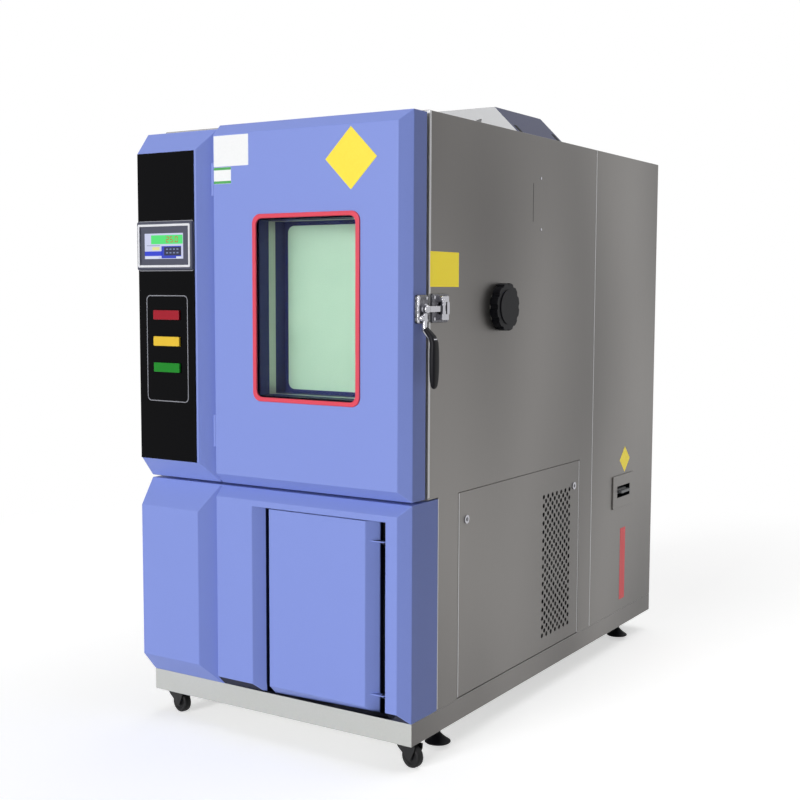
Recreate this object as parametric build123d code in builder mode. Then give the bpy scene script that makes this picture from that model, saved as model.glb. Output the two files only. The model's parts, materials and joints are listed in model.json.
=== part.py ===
"""Floor-standing temperature and humidity test chamber, in millimetres.

+Z is up, the front faces -Y, and the origin lies on the floor at the middle of the whole footprint.
"""

from build123d import *
import math

# Cabinet sizes
cabinet_width = 906.0
cabinet_depth = 1700.0
caster_height = 70.0
base_height = 62.0
lower_height = 580.0
section_gap = 7.0
door_height = 1001.0
column_drop = 9.0
roof_rise = 6.0
sheet = 1.5
plate = 3.0
seat_gap = 0.3
running_fit = 0.05

# Front relief: how far each level stands out, and how tall its slopes are
column_projection = 48.0
column_slope_height = 58.0
lower_column_slope_height = 76.0
door_projection = 29.0
column_width = 264.0
door_gap = 6.0
door_side_depth = 62.0
door_seal_gap = 13.0
lower_side_depth = 129.0
chamber_section_depth = 1145.0

# Base frame
rail_width = 50.0
crossbar_width = 60.0
front_caster_inset = 45.0
rear_caster_inset = 270.0
rear_caster_from_front = 1400.0
foot_inset = 45.0
front_foot_from_front = 212.0
rear_foot_from_front = 1500.0

# Casters
wheel_radius = 31.0
wheel_width = 24.0
axle_radius = 4.0
caster_trail = 24.0
caster_rest_angle = -10.0
fork_sheet = 2.5
fork_plate_radius = 22.0
king_pin_radius = 5.0
caster_plate_size = 70.0

# Levelling feet
foot_radius = 30.0
foot_rim = 6.0
foot_height = 20.0
foot_lift = 12.0
foot_stem_radius = 8.0
foot_stem_top = 108.0
weld_nut_radius = 14.0
weld_nut_height = 18.0

# Test space and its insulation
space_height = 750.0
space_depth = 600.0
space_left_margin = 50.0
space_right_margin = 86.0
duct_depth = 200.0
insulation_thickness = 100.0
throat_clearance = 6.0

# Cable port
port_radius = 50.0
port_from_front = 471.0
port_sleeve_wall = 1.0
port_flange_radius = 60.0
port_cap_radius = 68.0
port_cap_thickness = 24.0
port_lobes = 12
port_shank_length = 60.0

# Door window
window_left_margin = 151.0
window_right_margin = 156.0
window_height = 487.0
window_corner = 20.0
window_drop = 4.0
gasket_width = 12.0
gasket_proud = 5.0
gasket_lip = 1.0
glass_thickness = 6.0
glass_overlap = 8.0
inner_glass_depth = 122.0
window_step = 10.0
spacer_front = 47.0
spacer_depth = 29.0

# Door body
core_front_depth = 31.0
plug_depth = 61.5
plug_taper = 12.0
seal_width = 14.0
seal_inset = 12.0

# Door hinges
hinge_barrel_radius = 6.0
hinge_pin_radius = 3.0
hinge_leaf = 1.8
hinge_length = 90.0
hinge_end_distance = 150.0
hinge_leaf_depth = 60.0
hinge_axis_left = 7.0
hinge_axis_back = 9.0

# Latch
latch_height = 73.0
latch_width = 54.0
latch_thickness = 8.0
latch_below_middle = 2.0
lever_hub_radius = 14.0
lever_thickness = 9.0
lever_pin_radius = 5.0
hook_reach = 74.0
hook_height = 16.0
grip_length = 128.0
grip_width = 22.0
grip_thickness = 14.0
grip_standoff = 30.0
lever_drop = 46.0
tang_length = 60.0
keeper_depth = 84.0
keeper_height = 76.0
keeper_thickness = 7.0

# Control column
plate_width = 212.0
plate_height = 875.0
plate_top_margin = 60.0
plate_thickness = 3.0
controller_width = 210.0
controller_height = 136.0
controller_from_plate_top = 194.0
controller_proud = 7.0
screen_width = 178.0
screen_height = 110.0
screen_recess = 2.0
controller_depth = 42.0
button_frame_height = 302.0
button_frame_from_plate_top = 403.0
button_width = 98.0
button_height = 27.0
button_proud = 6.0
button_travel = 4.0
button_depth = 22.0
button_pitch = 75.0
button_first_drop = 55.0
button_clearance = 0.3
button_corner = 3.0

# Lower front and its access door
pocket_left = 427.0
pocket_right_margin = 65.0
pocket_top_drop = 46.0
pocket_sill = 2.0
lower_door_left_gap = 31.0
lower_door_right_gap = 34.0
lower_door_clearance = 2.0
lower_door_depth = 44.0
lower_door_sheet = 2.0
lower_pivot_right_gap = 16.0
lower_pivot_depth = 19.0
lower_hinge_end = 58.0
lower_lug_half = 8.0
lower_pin_radius = 4.0
lower_pin_end = 3.0
lug_height = 3.0

# Side access panel
access_from_front = 240.0
access_width = 802.0
access_edge_gap = 1.5
access_depth = 12.0
access_lip = 12.0
access_top_drop = 3.0
access_foot_rise = 4.0
lock_radius = 12.0
lock_proud = 3.0
lock_stem_radius = 5.0
lock_from_edge = 44.0
lock_drop = 79.0
cam_length = 40.0
cam_thickness = 2.5
lock_slot_width = 2.5
lock_slot_depth = 1.0
grille_columns = 7
grille_rows = 17
grille_pitch_y = 31.5
grille_pitch_z = 27.5
grille_hole_radius = 8.0
grille_hole_sides = 6
grille_from_front = 777.0
grille_foot = 186.0

# Breaker on the rear side
breaker_from_front = 1322.0
breaker_width = 184.0
breaker_height = 116.0
breaker_foot = 504.0
breaker_proud = 5.0
breaker_body_depth = 60.0
breaker_window_width = 114.0
breaker_window_height = 40.0
breaker_toggle_length = 80.0
breaker_toggle_radius = 13.0

# Roof hood
hood_from_front = 720.0
hood_length = 316.0
hood_height = 99.0
hood_top_width = 594.0
hood_slot_length = 34.0
hood_slot_width = 9.0
hood_slot_end = 26.0
hood_slot_rise = 6.0

# Air circulation
fan_radius = 68.0
fan_height = 46.0
fan_blades = 8
fan_ceiling_gap = 30.0
fan_hood_gap = 12.0
fan_shaft_radius = 6.0
fan_motor_radius = 62.0
fan_motor_height = 84.0
fan_motor_chamfer = 12.0
fan_neck_radius = 20.0
coil_width = 400.0
coil_height = 300.0
coil_depth = 70.0
coil_fins = 8
coil_tubes = 3
coil_rise = 220.0
tube_radius = 6.0
baffle_sheet = 1.5
shelf_rise = 330.0
shelf_thickness = 6.0
shelf_length = 510.0
shelf_back_gap = 10.0
shelf_side_gap = 2.0
shelf_border = 24.0
shelf_slots = 11
rail_size = 18.0

# Machine space
tank_width = 300.0
tank_depth = 180.0
tank_height = 300.0
compressor_radius = 95.0
compressor_height = 300.0
compressor_shoulder = 40.0
compressor_foot = 20.0
compressor_pitch = 250.0
condenser_width = 520.0
condenser_height = 420.0
condenser_depth = 70.0
condenser_fan_radius = 170.0
vent_width = 600.0
vent_height = 620.0
vent_slots = 12
vent_foot_rise = 120.0
vent_overlap = 20.0
vent_slot_height = 20.0
vent_slot_end = 20.0

# Heights worked out from the sizes above
base_bottom = caster_height
base_top = base_bottom + base_height
lower_top = base_top + lower_height
upper_bottom = lower_top + section_gap
door_top = upper_bottom + door_height
column_top = door_top - column_drop
body_top = door_top + roof_rise
side_split = lower_top + section_gap / 2
door_middle = (upper_bottom + door_top) / 2

# Places across, left to right: the latch's grip stands out on the right
side_overhang = latch_thickness + seat_gap + grip_standoff + (lever_thickness + grip_thickness) / 2
left_x = -(cabinet_width + side_overhang) / 2
right_x = left_x + cabinet_width
cabinet_x = (left_x + right_x) / 2
column_right = left_x + column_width
door_left = column_right + door_gap
door_width = right_x - door_left
space_left = door_left + space_left_margin
space_right = right_x - space_right_margin
space_width = space_right - space_left
space_x = (space_left + space_right) / 2

# Places in depth, front to back: the controller stands out in front, the vent panel behind
front_overhang = column_projection + controller_proud
relief_back = front_overhang - (cabinet_depth + front_overhang + sheet) / 2
rear_y = relief_back + cabinet_depth
cabinet_y = (relief_back + rear_y) / 2
column_face = relief_back - column_projection
door_face = relief_back - door_projection
door_back = relief_back + door_side_depth
body_front = door_back + door_seal_gap
lower_side_front = relief_back + lower_side_depth
section_seam = relief_back + chamber_section_depth
space_front = body_front + plate
space_back = space_front + space_depth
duct_back = space_back + duct_depth

# Heights of the test space
space_bottom = door_middle - space_height / 2
space_top = door_middle + space_height / 2

# Base frame: a ring of channel with two crossbars, the machine floor and nuts for the feet
front_caster_y = relief_back + front_caster_inset
rear_caster_y = relief_back + rear_caster_from_front
foot_y_places = (relief_back + front_foot_from_front, relief_back + rear_foot_from_front)
foot_x_places = (left_x + foot_inset, right_x - foot_inset)
with BuildPart() as base_frame:
    with BuildSketch(Plane.XY.offset(base_bottom)):
        with Locations((cabinet_x, cabinet_y)):
            Rectangle(cabinet_width, cabinet_depth)
            Rectangle(
                cabinet_width - 2 * rail_width,
                cabinet_depth - 2 * rail_width,
                mode=Mode.SUBTRACT,
            )
    extrude(amount=base_height)
    with BuildSketch(Plane.XY.offset(base_bottom + plate)):
        with Locations((cabinet_x, cabinet_y)):
            Rectangle(cabinet_width - 2 * plate, cabinet_depth - 2 * plate)
    extrude(amount=base_height - 2 * plate, mode=Mode.SUBTRACT)
    with BuildSketch(Plane.XY.offset(base_bottom)):
        for bar_y in (front_caster_y + front_caster_inset, rear_caster_y):
            with Locations((cabinet_x, bar_y)):
                Rectangle(cabinet_width - 2 * plate, crossbar_width)
    extrude(amount=base_height)
    with BuildSketch(Plane.XY.offset(base_top - plate)):
        with Locations((cabinet_x, cabinet_y)):
            Rectangle(cabinet_width, cabinet_depth)
    extrude(amount=plate)
    with BuildSketch(Plane.XY.offset(base_bottom + plate)):
        with Locations([(x, y) for x in foot_x_places for y in foot_y_places]):
            Circle(weld_nut_radius)
    extrude(amount=weld_nut_height)
    with BuildSketch(Plane.XY.offset(base_bottom)):
        with Locations([(x, y) for x in foot_x_places for y in foot_y_places]):
            Circle(foot_stem_radius + running_fit)
    extrude(amount=weld_nut_height + plate, mode=Mode.SUBTRACT)
base_frame.part.label = "base_frame"
export_step(base_frame.part, "parts/base_frame.step")

# Casters: fixed plates with king pins, swivelling forks and wheels
caster_places = {
    "front_left": (left_x + front_caster_inset, front_caster_y),
    "front_right": (right_x - front_caster_inset, front_caster_y),
    "rear_left": (left_x + rear_caster_inset, rear_caster_y),
    "rear_right": (right_x - rear_caster_inset, rear_caster_y),
}
caster_plate_thickness = 3.0
fork_top = base_bottom - caster_plate_thickness - seat_gap
fork_under = fork_top - fork_sheet
pin_head_height = 2.5
pin_head_radius = king_pin_radius + 3.0
with BuildPart() as caster_plates:
    with BuildSketch(Plane.XY.offset(base_bottom - caster_plate_thickness)):
        with Locations(list(caster_places.values())):
            RectangleRounded(caster_plate_size, caster_plate_size, 6)
    extrude(amount=caster_plate_thickness)
    with BuildSketch(Plane.XY.offset(fork_under - seat_gap)):
        with Locations(list(caster_places.values())):
            Circle(king_pin_radius)
    extrude(amount=fork_sheet + 2 * seat_gap)
    with BuildSketch(Plane.XY.offset(fork_under - seat_gap - pin_head_height)):
        with Locations(list(caster_places.values())):
            Circle(pin_head_radius)
    extrude(amount=pin_head_height)
caster_plates.part.label = "caster_plates"
export_step(caster_plates.part, "parts/caster_plates.step")


def caster_frame(place):
    """Plane at a caster's swivel axis on the floor, its X axis along the trail."""
    x, y = place
    angle = math.radians(caster_rest_angle)
    return Plane(origin=(x, y, 0), x_dir=(math.cos(angle), math.sin(angle), 0), z_dir=(0, 0, 1))


def build_fork(frame):
    """Pressed fork: a round top plate with a bore, two legs and the wheel's axle."""
    leg_inside = wheel_width / 2 + 1.0
    leg_outside = leg_inside + fork_sheet
    upright = Plane(origin=frame.origin, x_dir=frame.x_dir, z_dir=-frame.y_dir)
    with BuildPart() as fork:
        with BuildSketch(frame.offset(fork_under)):
            Circle(fork_plate_radius)
        extrude(amount=fork_sheet)
        with BuildSketch(upright.offset(-leg_outside)):
            with BuildLine():
                Polyline(
                    (-fork_plate_radius * 0.55, fork_top),
                    (fork_plate_radius * 0.75, fork_top),
                    (caster_trail + 11, wheel_radius),
                    (caster_trail - 11, wheel_radius),
                    (-fork_plate_radius * 0.55, fork_top),
                )
            make_face()
            with Locations((caster_trail, wheel_radius)):
                Circle(11)
        extrude(amount=2 * leg_outside)
        with BuildSketch(upright.offset(-leg_inside)):
            with Locations((caster_trail, 0)):
                Rectangle(4 * wheel_radius, 2 * fork_under)
        extrude(amount=2 * leg_inside, mode=Mode.SUBTRACT)
        with BuildSketch(upright.offset(-leg_outside)):
            with Locations((caster_trail, wheel_radius)):
                Circle(axle_radius)
        extrude(amount=2 * leg_outside)
        with BuildSketch(frame.offset(fork_under)):
            Circle(king_pin_radius + running_fit)
        extrude(amount=fork_sheet, mode=Mode.SUBTRACT)
    return fork


def build_wheel(frame):
    """Wheel with a rounded tread and a bore that runs on the fork's axle."""
    upright = Plane(origin=frame.origin, x_dir=frame.x_dir, z_dir=-frame.y_dir)
    with BuildPart() as wheel:
        with BuildSketch(upright.offset(-wheel_width / 2)):
            with Locations((caster_trail, wheel_radius)):
                Circle(wheel_radius)
        extrude(amount=wheel_width)
        chamfer(wheel.edges().filter_by(GeomType.CIRCLE), length=3)
        with BuildSketch(upright.offset(-wheel_width / 2)):
            with Locations((caster_trail, wheel_radius)):
                Circle(axle_radius + running_fit)
        extrude(amount=wheel_width, mode=Mode.SUBTRACT)
    return wheel


for corner, place in caster_places.items():
    fork = build_fork(caster_frame(place))
    fork.part.label = "caster_fork_" + corner
    export_step(fork.part, "parts/caster_fork_" + corner + ".step")
    wheel = build_wheel(caster_frame(place))
    wheel.part.label = "caster_wheel_" + corner
    export_step(wheel.part, "parts/caster_wheel_" + corner + ".step")


def build_foot(x, y):
    """Levelling foot: a cone-topped pad on a stem that screws up into the frame."""
    with BuildPart() as foot:
        with BuildSketch(Plane.XZ):
            with BuildLine():
                Polyline(
                    (0, foot_lift),
                    (foot_radius, foot_lift),
                    (foot_radius, foot_lift + foot_rim),
                    (foot_stem_radius + 3, foot_lift + foot_height),
                    (foot_stem_radius, foot_lift + foot_height),
                    (foot_stem_radius, foot_stem_top),
                    (0, foot_stem_top),
                    (0, foot_lift),
                )
            make_face()
        revolve(axis=Axis.Z)
    foot.part.locate(Location((x, y, 0)))
    return foot


foot_names = (("front_left", 0, 0), ("rear_left", 0, 1), ("front_right", 1, 0), ("rear_right", 1, 1))
for corner, column, row in foot_names:
    foot = build_foot(foot_x_places[column], foot_y_places[row])
    foot.part.label = "levelling_foot_" + corner
    export_step(foot.part, "parts/levelling_foot_" + corner + ".step")

# Port place, shared by every wall that it passes through
port_y = relief_back + port_from_front
port_z = door_middle
port_hole_radius = port_radius + port_sleeve_wall + seat_gap
port_plane = Plane(origin=(0, port_y, port_z), x_dir=(0, 1, 0), z_dir=(1, 0, 0))

# Upper shell: a wrapper of steel sheet over both sides and the roof of the chamber section
fan_x = space_x
fan_y = relief_back + hood_from_front + fan_motor_radius + fan_hood_gap
with BuildPart() as upper_shell:
    with BuildSketch(Plane.XZ.offset(-section_seam)):
        with BuildLine():
            Polyline(
                (left_x, side_split),
                (left_x, body_top),
                (right_x, body_top),
                (right_x, side_split),
                (right_x - sheet, side_split),
                (right_x - sheet, body_top - sheet),
                (left_x + sheet, body_top - sheet),
                (left_x + sheet, side_split),
                (left_x, side_split),
            )
        make_face()
    extrude(amount=section_seam - body_front)
    with BuildSketch(port_plane.offset(right_x - 2 * sheet)):
        Circle(port_hole_radius)
    extrude(amount=3 * sheet, mode=Mode.SUBTRACT)
    with BuildSketch(Plane.XY.offset(body_top - 2 * sheet)):
        with Locations((fan_x, fan_y)):
            Circle(fan_neck_radius + seat_gap)
    extrude(amount=3 * sheet, mode=Mode.SUBTRACT)
upper_shell.part.label = "upper_shell"
export_step(upper_shell.part, "parts/upper_shell.step")

# Rear shell: sides, back and roof of the machine section, with a breaker cut-out and a vent
vent_bottom = base_top + vent_foot_rise
breaker_y = relief_back + breaker_from_front + breaker_width / 2
breaker_z = breaker_foot + breaker_height / 2
breaker_cut_width = breaker_window_width + 20
breaker_cut_height = breaker_window_height + 30
with BuildPart() as rear_shell:
    with BuildSketch(Plane.XY.offset(base_top)):
        with Locations((cabinet_x, (section_seam + rear_y) / 2)):
            Rectangle(cabinet_width, rear_y - section_seam)
    extrude(amount=body_top - base_top)
    front_face = rear_shell.faces().sort_by(Axis.Y)[0]
    foot_face = rear_shell.faces().sort_by(Axis.Z)[0]
    offset(amount=-sheet, openings=[front_face, foot_face])
    with BuildSketch(Plane.YZ.offset(right_x - 2 * sheet)):
        with Locations((breaker_y, breaker_z)):
            Rectangle(breaker_cut_width, breaker_cut_height)
    extrude(amount=3 * sheet, mode=Mode.SUBTRACT)
    with BuildSketch(Plane.XZ.offset(-rear_y - sheet)):
        with Locations((cabinet_x, vent_bottom + vent_height / 2)):
            Rectangle(vent_width, vent_height)
    extrude(amount=3 * sheet, mode=Mode.SUBTRACT)
rear_shell.part.label = "rear_shell"
export_step(rear_shell.part, "parts/rear_shell.step")

# Rear vent panel: a slotted cover screwed over the vent, where the condenser's air leaves
with BuildPart() as rear_vent_panel:
    with BuildSketch(Plane.XZ.offset(-rear_y - sheet)):
        with Locations((cabinet_x, vent_bottom + vent_height / 2)):
            Rectangle(vent_width + 2 * vent_overlap, vent_height + 2 * vent_overlap)
            with GridLocations(vent_width / 2, vent_height / vent_slots, 2, vent_slots):
                Rectangle(vent_width / 2 - 2 * vent_slot_end, vent_slot_height, mode=Mode.SUBTRACT)
    extrude(amount=sheet)
rear_vent_panel.part.label = "rear_vent_panel"
export_step(rear_vent_panel.part, "parts/rear_vent_panel.step")

# Lower side sheets: a plain one on the left, one with the access cut-out on the right
access_front = relief_back + access_from_front
access_back = access_front + access_width
access_bottom = base_top + access_foot_rise
access_top = side_split - access_top_drop
access_y = (access_front + access_back) / 2
access_z = (access_bottom + access_top) / 2
lower_side_length = section_seam - lower_side_front
lower_side_y = (section_seam + lower_side_front) / 2
lower_side_z = (base_top + side_split) / 2
with BuildPart() as lower_side_left:
    with BuildSketch(Plane.YZ.offset(left_x)):
        with Locations((lower_side_y, lower_side_z)):
            Rectangle(lower_side_length, side_split - base_top)
    extrude(amount=sheet)
lower_side_left.part.label = "lower_side_left"
export_step(lower_side_left.part, "parts/lower_side_left.step")

with BuildPart() as lower_side_right:
    with BuildSketch(Plane.YZ.offset(right_x - sheet)):
        with Locations((lower_side_y, lower_side_z)):
            Rectangle(lower_side_length, side_split - base_top)
        with Locations((access_y, access_z)):
            Rectangle(
                access_width + 2 * access_edge_gap,
                access_top - access_bottom + 2 * access_edge_gap,
                mode=Mode.SUBTRACT,
            )
    extrude(amount=sheet)
    with BuildSketch(Plane.YZ.offset(right_x - access_depth - sheet)):
        with Locations((access_y, access_z)):
            Rectangle(access_width + 2 * sheet, access_top - access_bottom + 2 * sheet)
            Rectangle(
                access_width - 2 * access_lip,
                access_top - access_bottom - 2 * access_lip,
                mode=Mode.SUBTRACT,
            )
    extrude(amount=sheet)
    with BuildSketch(Plane.YZ.offset(right_x - access_depth - sheet)):
        for end_y in (access_front - 2 * sheet, access_back + 2 * sheet):
            with Locations((end_y, access_z)):
                Rectangle(2 * sheet, access_top - access_bottom)
    extrude(amount=access_depth)
lower_side_right.part.label = "lower_side_right"
export_step(lower_side_right.part, "parts/lower_side_right.step")

# Access panel: a tray of sheet with a grille of staggered holes, held by two turn locks
grille_y = relief_back + grille_from_front + (grille_columns - 1) * grille_pitch_y / 2
grille_z = grille_foot + (grille_rows - 1) * grille_pitch_z / 2
lock_z = access_top - lock_drop
lock_y_places = (access_front + lock_from_edge, access_back - lock_from_edge)
with BuildPart() as access_panel:
    with BuildSketch(Plane.YZ.offset(right_x - access_depth + seat_gap)):
        with Locations((access_y, access_z)):
            Rectangle(access_width, access_top - access_bottom)
    extrude(amount=access_depth - seat_gap)
    inner_face = access_panel.faces().sort_by(Axis.X)[0]
    offset(amount=-sheet, openings=inner_face)
    with BuildSketch(Plane.YZ.offset(right_x - sheet)):
        with Locations((grille_y, grille_z)):
            with GridLocations(grille_pitch_y, grille_pitch_z, grille_columns, grille_rows):
                RegularPolygon(grille_hole_radius, grille_hole_sides)
            with GridLocations(grille_pitch_y, grille_pitch_z, grille_columns - 1, grille_rows - 1):
                RegularPolygon(grille_hole_radius, grille_hole_sides)
        with Locations([(y, lock_z) for y in lock_y_places]):
            Circle(lock_stem_radius + running_fit)
    extrude(amount=sheet, mode=Mode.SUBTRACT)
access_panel.part.label = "access_panel"
export_step(access_panel.part, "parts/access_panel.step")


def build_lock(y):
    """Turn lock: a slotted head, a stem through the sheet and a cam that turns behind the lip."""
    cam_back = right_x - access_depth - sheet - seat_gap - cam_thickness
    with BuildPart() as lock:
        with BuildSketch(Plane.YZ.offset(right_x + seat_gap)):
            with Locations((y, lock_z)):
                Circle(lock_radius)
        extrude(amount=lock_proud)
        with BuildSketch(Plane.YZ.offset(right_x + seat_gap + lock_proud - lock_slot_depth)):
            with Locations((y, lock_z)):
                Rectangle(lock_radius, lock_slot_width)
        extrude(amount=lock_slot_depth, mode=Mode.SUBTRACT)
        with BuildSketch(Plane.YZ.offset(cam_back)):
            with Locations((y, lock_z)):
                Circle(lock_stem_radius)
        extrude(amount=right_x + seat_gap - cam_back)
        with BuildSketch(Plane.YZ.offset(cam_back)):
            with Locations((y, lock_z + cam_length / 2)):
                Rectangle(2 * lock_stem_radius, cam_length)
        extrude(amount=cam_thickness)
    return lock


for lock_name, lock_y in zip(("front", "rear"), lock_y_places):
    lock = build_lock(lock_y)
    lock.part.label = "panel_lock_" + lock_name
    export_step(lock.part, "parts/panel_lock_" + lock_name + ".step")

# Front frame: the plate around the test space's mouth and the deck that carries the foam
deck_left = left_x + sheet
deck_right = right_x - access_depth - 2 * sheet
with BuildPart() as front_frame:
    with BuildSketch(Plane.XZ.offset(-body_front - plate)):
        with Locations((cabinet_x, (side_split + body_top - sheet) / 2)):
            Rectangle(cabinet_width - 2 * sheet, body_top - sheet - side_split)
        with Locations((space_x, door_middle)):
            Rectangle(space_width, space_height, mode=Mode.SUBTRACT)
    extrude(amount=plate)
    with BuildSketch(Plane.XY.offset(side_split - plate)):
        with Locations(((deck_left + deck_right) / 2, (body_front + section_seam) / 2)):
            Rectangle(deck_right - deck_left, section_seam - body_front)
    extrude(amount=plate)
front_frame.part.label = "front_frame"
export_step(front_frame.part, "parts/front_frame.step")

# Test space liner: a box of stainless sheet, open to the front, with two angle rails inside
shelf_bottom = space_bottom + shelf_rise
shelf_y = space_back - shelf_back_gap - shelf_length / 2
with BuildPart() as chamber_liner:
    with BuildSketch(Plane.XZ.offset(-duct_back - sheet)):
        with Locations((space_x, door_middle)):
            Rectangle(space_width + 2 * sheet, space_height + 2 * sheet)
    extrude(amount=duct_back + sheet - space_front)
    mouth_face = chamber_liner.faces().sort_by(Axis.Y)[0]
    offset(amount=-sheet, openings=mouth_face)
    with BuildSketch(port_plane.offset(space_right - sheet)):
        Circle(port_hole_radius)
    extrude(amount=3 * sheet, mode=Mode.SUBTRACT)
    with BuildSketch(Plane.XY.offset(space_top - sheet)):
        with Locations((fan_x, fan_y)):
            Circle(fan_neck_radius + seat_gap)
    extrude(amount=3 * sheet, mode=Mode.SUBTRACT)
    for side in (-1, 1):
        ledge_x = space_x + side * (space_width - rail_size) / 2
        wall_x = space_x + side * (space_width - sheet) / 2
        with BuildSketch(Plane.XY.offset(shelf_bottom - sheet)):
            with Locations((ledge_x, shelf_y)):
                Rectangle(rail_size, shelf_length)
        extrude(amount=sheet)
        with BuildSketch(Plane.XY.offset(shelf_bottom - rail_size)):
            with Locations((wall_x, shelf_y)):
                Rectangle(sheet, shelf_length)
        extrude(amount=rail_size)
chamber_liner.part.label = "chamber_liner"
export_step(chamber_liner.part, "parts/chamber_liner.step")

# Insulation: the foam between the liner and the shell
foam_left = space_left - sheet - insulation_thickness
foam_right = right_x - sheet
foam_back = duct_back + sheet + insulation_thickness
with BuildPart() as insulation:
    with BuildSketch(Plane.XY.offset(side_split)):
        with Locations(((foam_left + foam_right) / 2, (space_front + foam_back) / 2)):
            Rectangle(foam_right - foam_left, foam_back - space_front)
    extrude(amount=body_top - sheet - side_split)
    with BuildSketch(Plane.XZ.offset(-duct_back - sheet)):
        with Locations((space_x, door_middle)):
            Rectangle(space_width + 2 * sheet, space_height + 2 * sheet)
    extrude(amount=duct_back + sheet - space_front, mode=Mode.SUBTRACT)
    with BuildSketch(port_plane.offset(space_right)):
        Circle(port_hole_radius)
    extrude(amount=foam_right - space_right, mode=Mode.SUBTRACT)
    with BuildSketch(Plane.XY.offset(space_top)):
        with Locations((fan_x, fan_y)):
            Circle(fan_neck_radius + seat_gap)
    extrude(amount=body_top - space_top, mode=Mode.SUBTRACT)
insulation.part.label = "insulation"
export_step(insulation.part, "parts/insulation.step")

# Cable port: a flanged sleeve through the right wall, and its plug
with BuildPart() as port_sleeve:
    with BuildSketch(port_plane.offset(space_right)):
        Circle(port_radius + port_sleeve_wall)
    extrude(amount=right_x + plate - space_right)
    with BuildSketch(port_plane.offset(right_x)):
        Circle(port_flange_radius)
    extrude(amount=plate)
    with BuildSketch(port_plane.offset(space_right)):
        Circle(port_radius)
    extrude(amount=right_x + plate - space_right, mode=Mode.SUBTRACT)
port_sleeve.part.label = "port_sleeve"
export_step(port_sleeve.part, "parts/port_sleeve.step")

lobe_radius = 10.0
cap_back = right_x + plate + seat_gap
with BuildPart() as port_plug:
    with BuildSketch(port_plane.offset(cap_back)):
        Circle(port_cap_radius)
        with PolarLocations(port_cap_radius + lobe_radius * 0.55, port_lobes):
            Circle(lobe_radius, mode=Mode.SUBTRACT)
    extrude(amount=port_cap_thickness)
    with BuildSketch(port_plane.offset(cap_back + port_cap_thickness)):
        Circle(port_cap_radius * 0.72)
    extrude(amount=3)
    with BuildSketch(port_plane.offset(cap_back - port_shank_length)):
        Circle(port_radius - 2 * running_fit)
    extrude(amount=port_shank_length)
port_plug.part.label = "port_plug"
export_step(port_plug.part, "parts/port_plug.step")

# Air baffle: the wall between test space and duct, with an inlet at the top, outlets below
inlet_radius = 90.0
outlet_height = 12.0
with BuildPart() as air_baffle:
    with BuildSketch(Plane.XZ.offset(-space_back - baffle_sheet)):
        with Locations((space_x, door_middle)):
            Rectangle(space_width - 2 * seat_gap, space_height - 2 * seat_gap)
        with Locations((space_x, space_top - inlet_radius - 40)):
            with GridLocations(52, 0, 7, 1):
                SlotOverall(150, 24, rotation=90, mode=Mode.SUBTRACT)
        with Locations((space_x, space_bottom + 60)):
            with GridLocations(0, 26, 1, 3):
                Rectangle(space_width * 0.8, outlet_height, mode=Mode.SUBTRACT)
    extrude(amount=baffle_sheet)
air_baffle.part.label = "air_baffle"
export_step(air_baffle.part, "parts/air_baffle.step")

# Circulation fan: a bladed wheel on a shaft that runs up through the motor's neck
fan_top = space_top - fan_ceiling_gap
fan_bottom = fan_top - fan_height
shaft_top = body_top + 30
with BuildPart() as fan_wheel:
    with BuildSketch(Plane.XY.offset(fan_top - plate)):
        with Locations((fan_x, fan_y)):
            Circle(fan_radius)
    extrude(amount=plate)
    with BuildSketch(Plane.XY.offset(fan_bottom)):
        with Locations((fan_x, fan_y)):
            with PolarLocations(fan_radius * 0.78, fan_blades):
                Rectangle(fan_radius * 0.4, plate, rotation=35)
    extrude(amount=fan_height)
    with BuildSketch(Plane.XY.offset(fan_bottom + fan_height * 0.4)):
        with Locations((fan_x, fan_y)):
            Circle(fan_shaft_radius * 2)
    extrude(amount=fan_height * 0.6)
    with BuildSketch(Plane.XY.offset(fan_top)):
        with Locations((fan_x, fan_y)):
            Circle(fan_shaft_radius)
    extrude(amount=shaft_top - fan_top)
fan_wheel.part.label = "fan_wheel"
export_step(fan_wheel.part, "parts/fan_wheel.step")

with BuildPart() as fan_motor:
    with BuildSketch(Plane.XY.offset(body_top)):
        with Locations((fan_x, fan_y)):
            Circle(fan_motor_radius)
    extrude(amount=fan_motor_height)
    chamfer(fan_motor.edges().group_by(Axis.Z)[-1], length=fan_motor_chamfer)
    with BuildSketch(Plane.XY.offset(space_top + sheet)):
        with Locations((fan_x, fan_y)):
            Circle(fan_neck_radius)
    extrude(amount=body_top - space_top - sheet)
    with BuildSketch(Plane.XY.offset(space_top + sheet)):
        with Locations((fan_x, fan_y)):
            Circle(fan_shaft_radius + running_fit)
    extrude(amount=shaft_top + seat_gap - space_top - sheet, mode=Mode.SUBTRACT)
fan_motor.part.label = "fan_motor"
export_step(fan_motor.part, "parts/fan_motor.step")

# Cooling coil in the duct: a row of fins on tubes, hung from brackets on the duct's back
coil_z = space_bottom + coil_rise
fin_pitch = coil_width / coil_fins
with BuildPart() as cooling_coil:
    with BuildSketch(Plane.YZ.offset(space_x - coil_width / 2)):
        with Locations((fan_y, coil_z)):
            with GridLocations(0, coil_height / coil_tubes, 1, coil_tubes):
                Circle(tube_radius)
    extrude(amount=coil_width)
    for fin_number in range(coil_fins + 1):
        with BuildSketch(Plane.YZ.offset(space_x - coil_width / 2 + fin_number * fin_pitch)):
            with Locations((fan_y, coil_z)):
                Rectangle(coil_depth, coil_height)
        extrude(amount=sheet)
    with BuildSketch(Plane.XZ.offset(-duct_back)):
        with Locations((space_x, coil_z)):
            with GridLocations(coil_width - 2 * fin_pitch, 0, 2, 1):
                Rectangle(rail_size, coil_height / 2)
    extrude(amount=duct_back - fan_y)
cooling_coil.part.label = "cooling_coil"
export_step(cooling_coil.part, "parts/cooling_coil.step")

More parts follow.
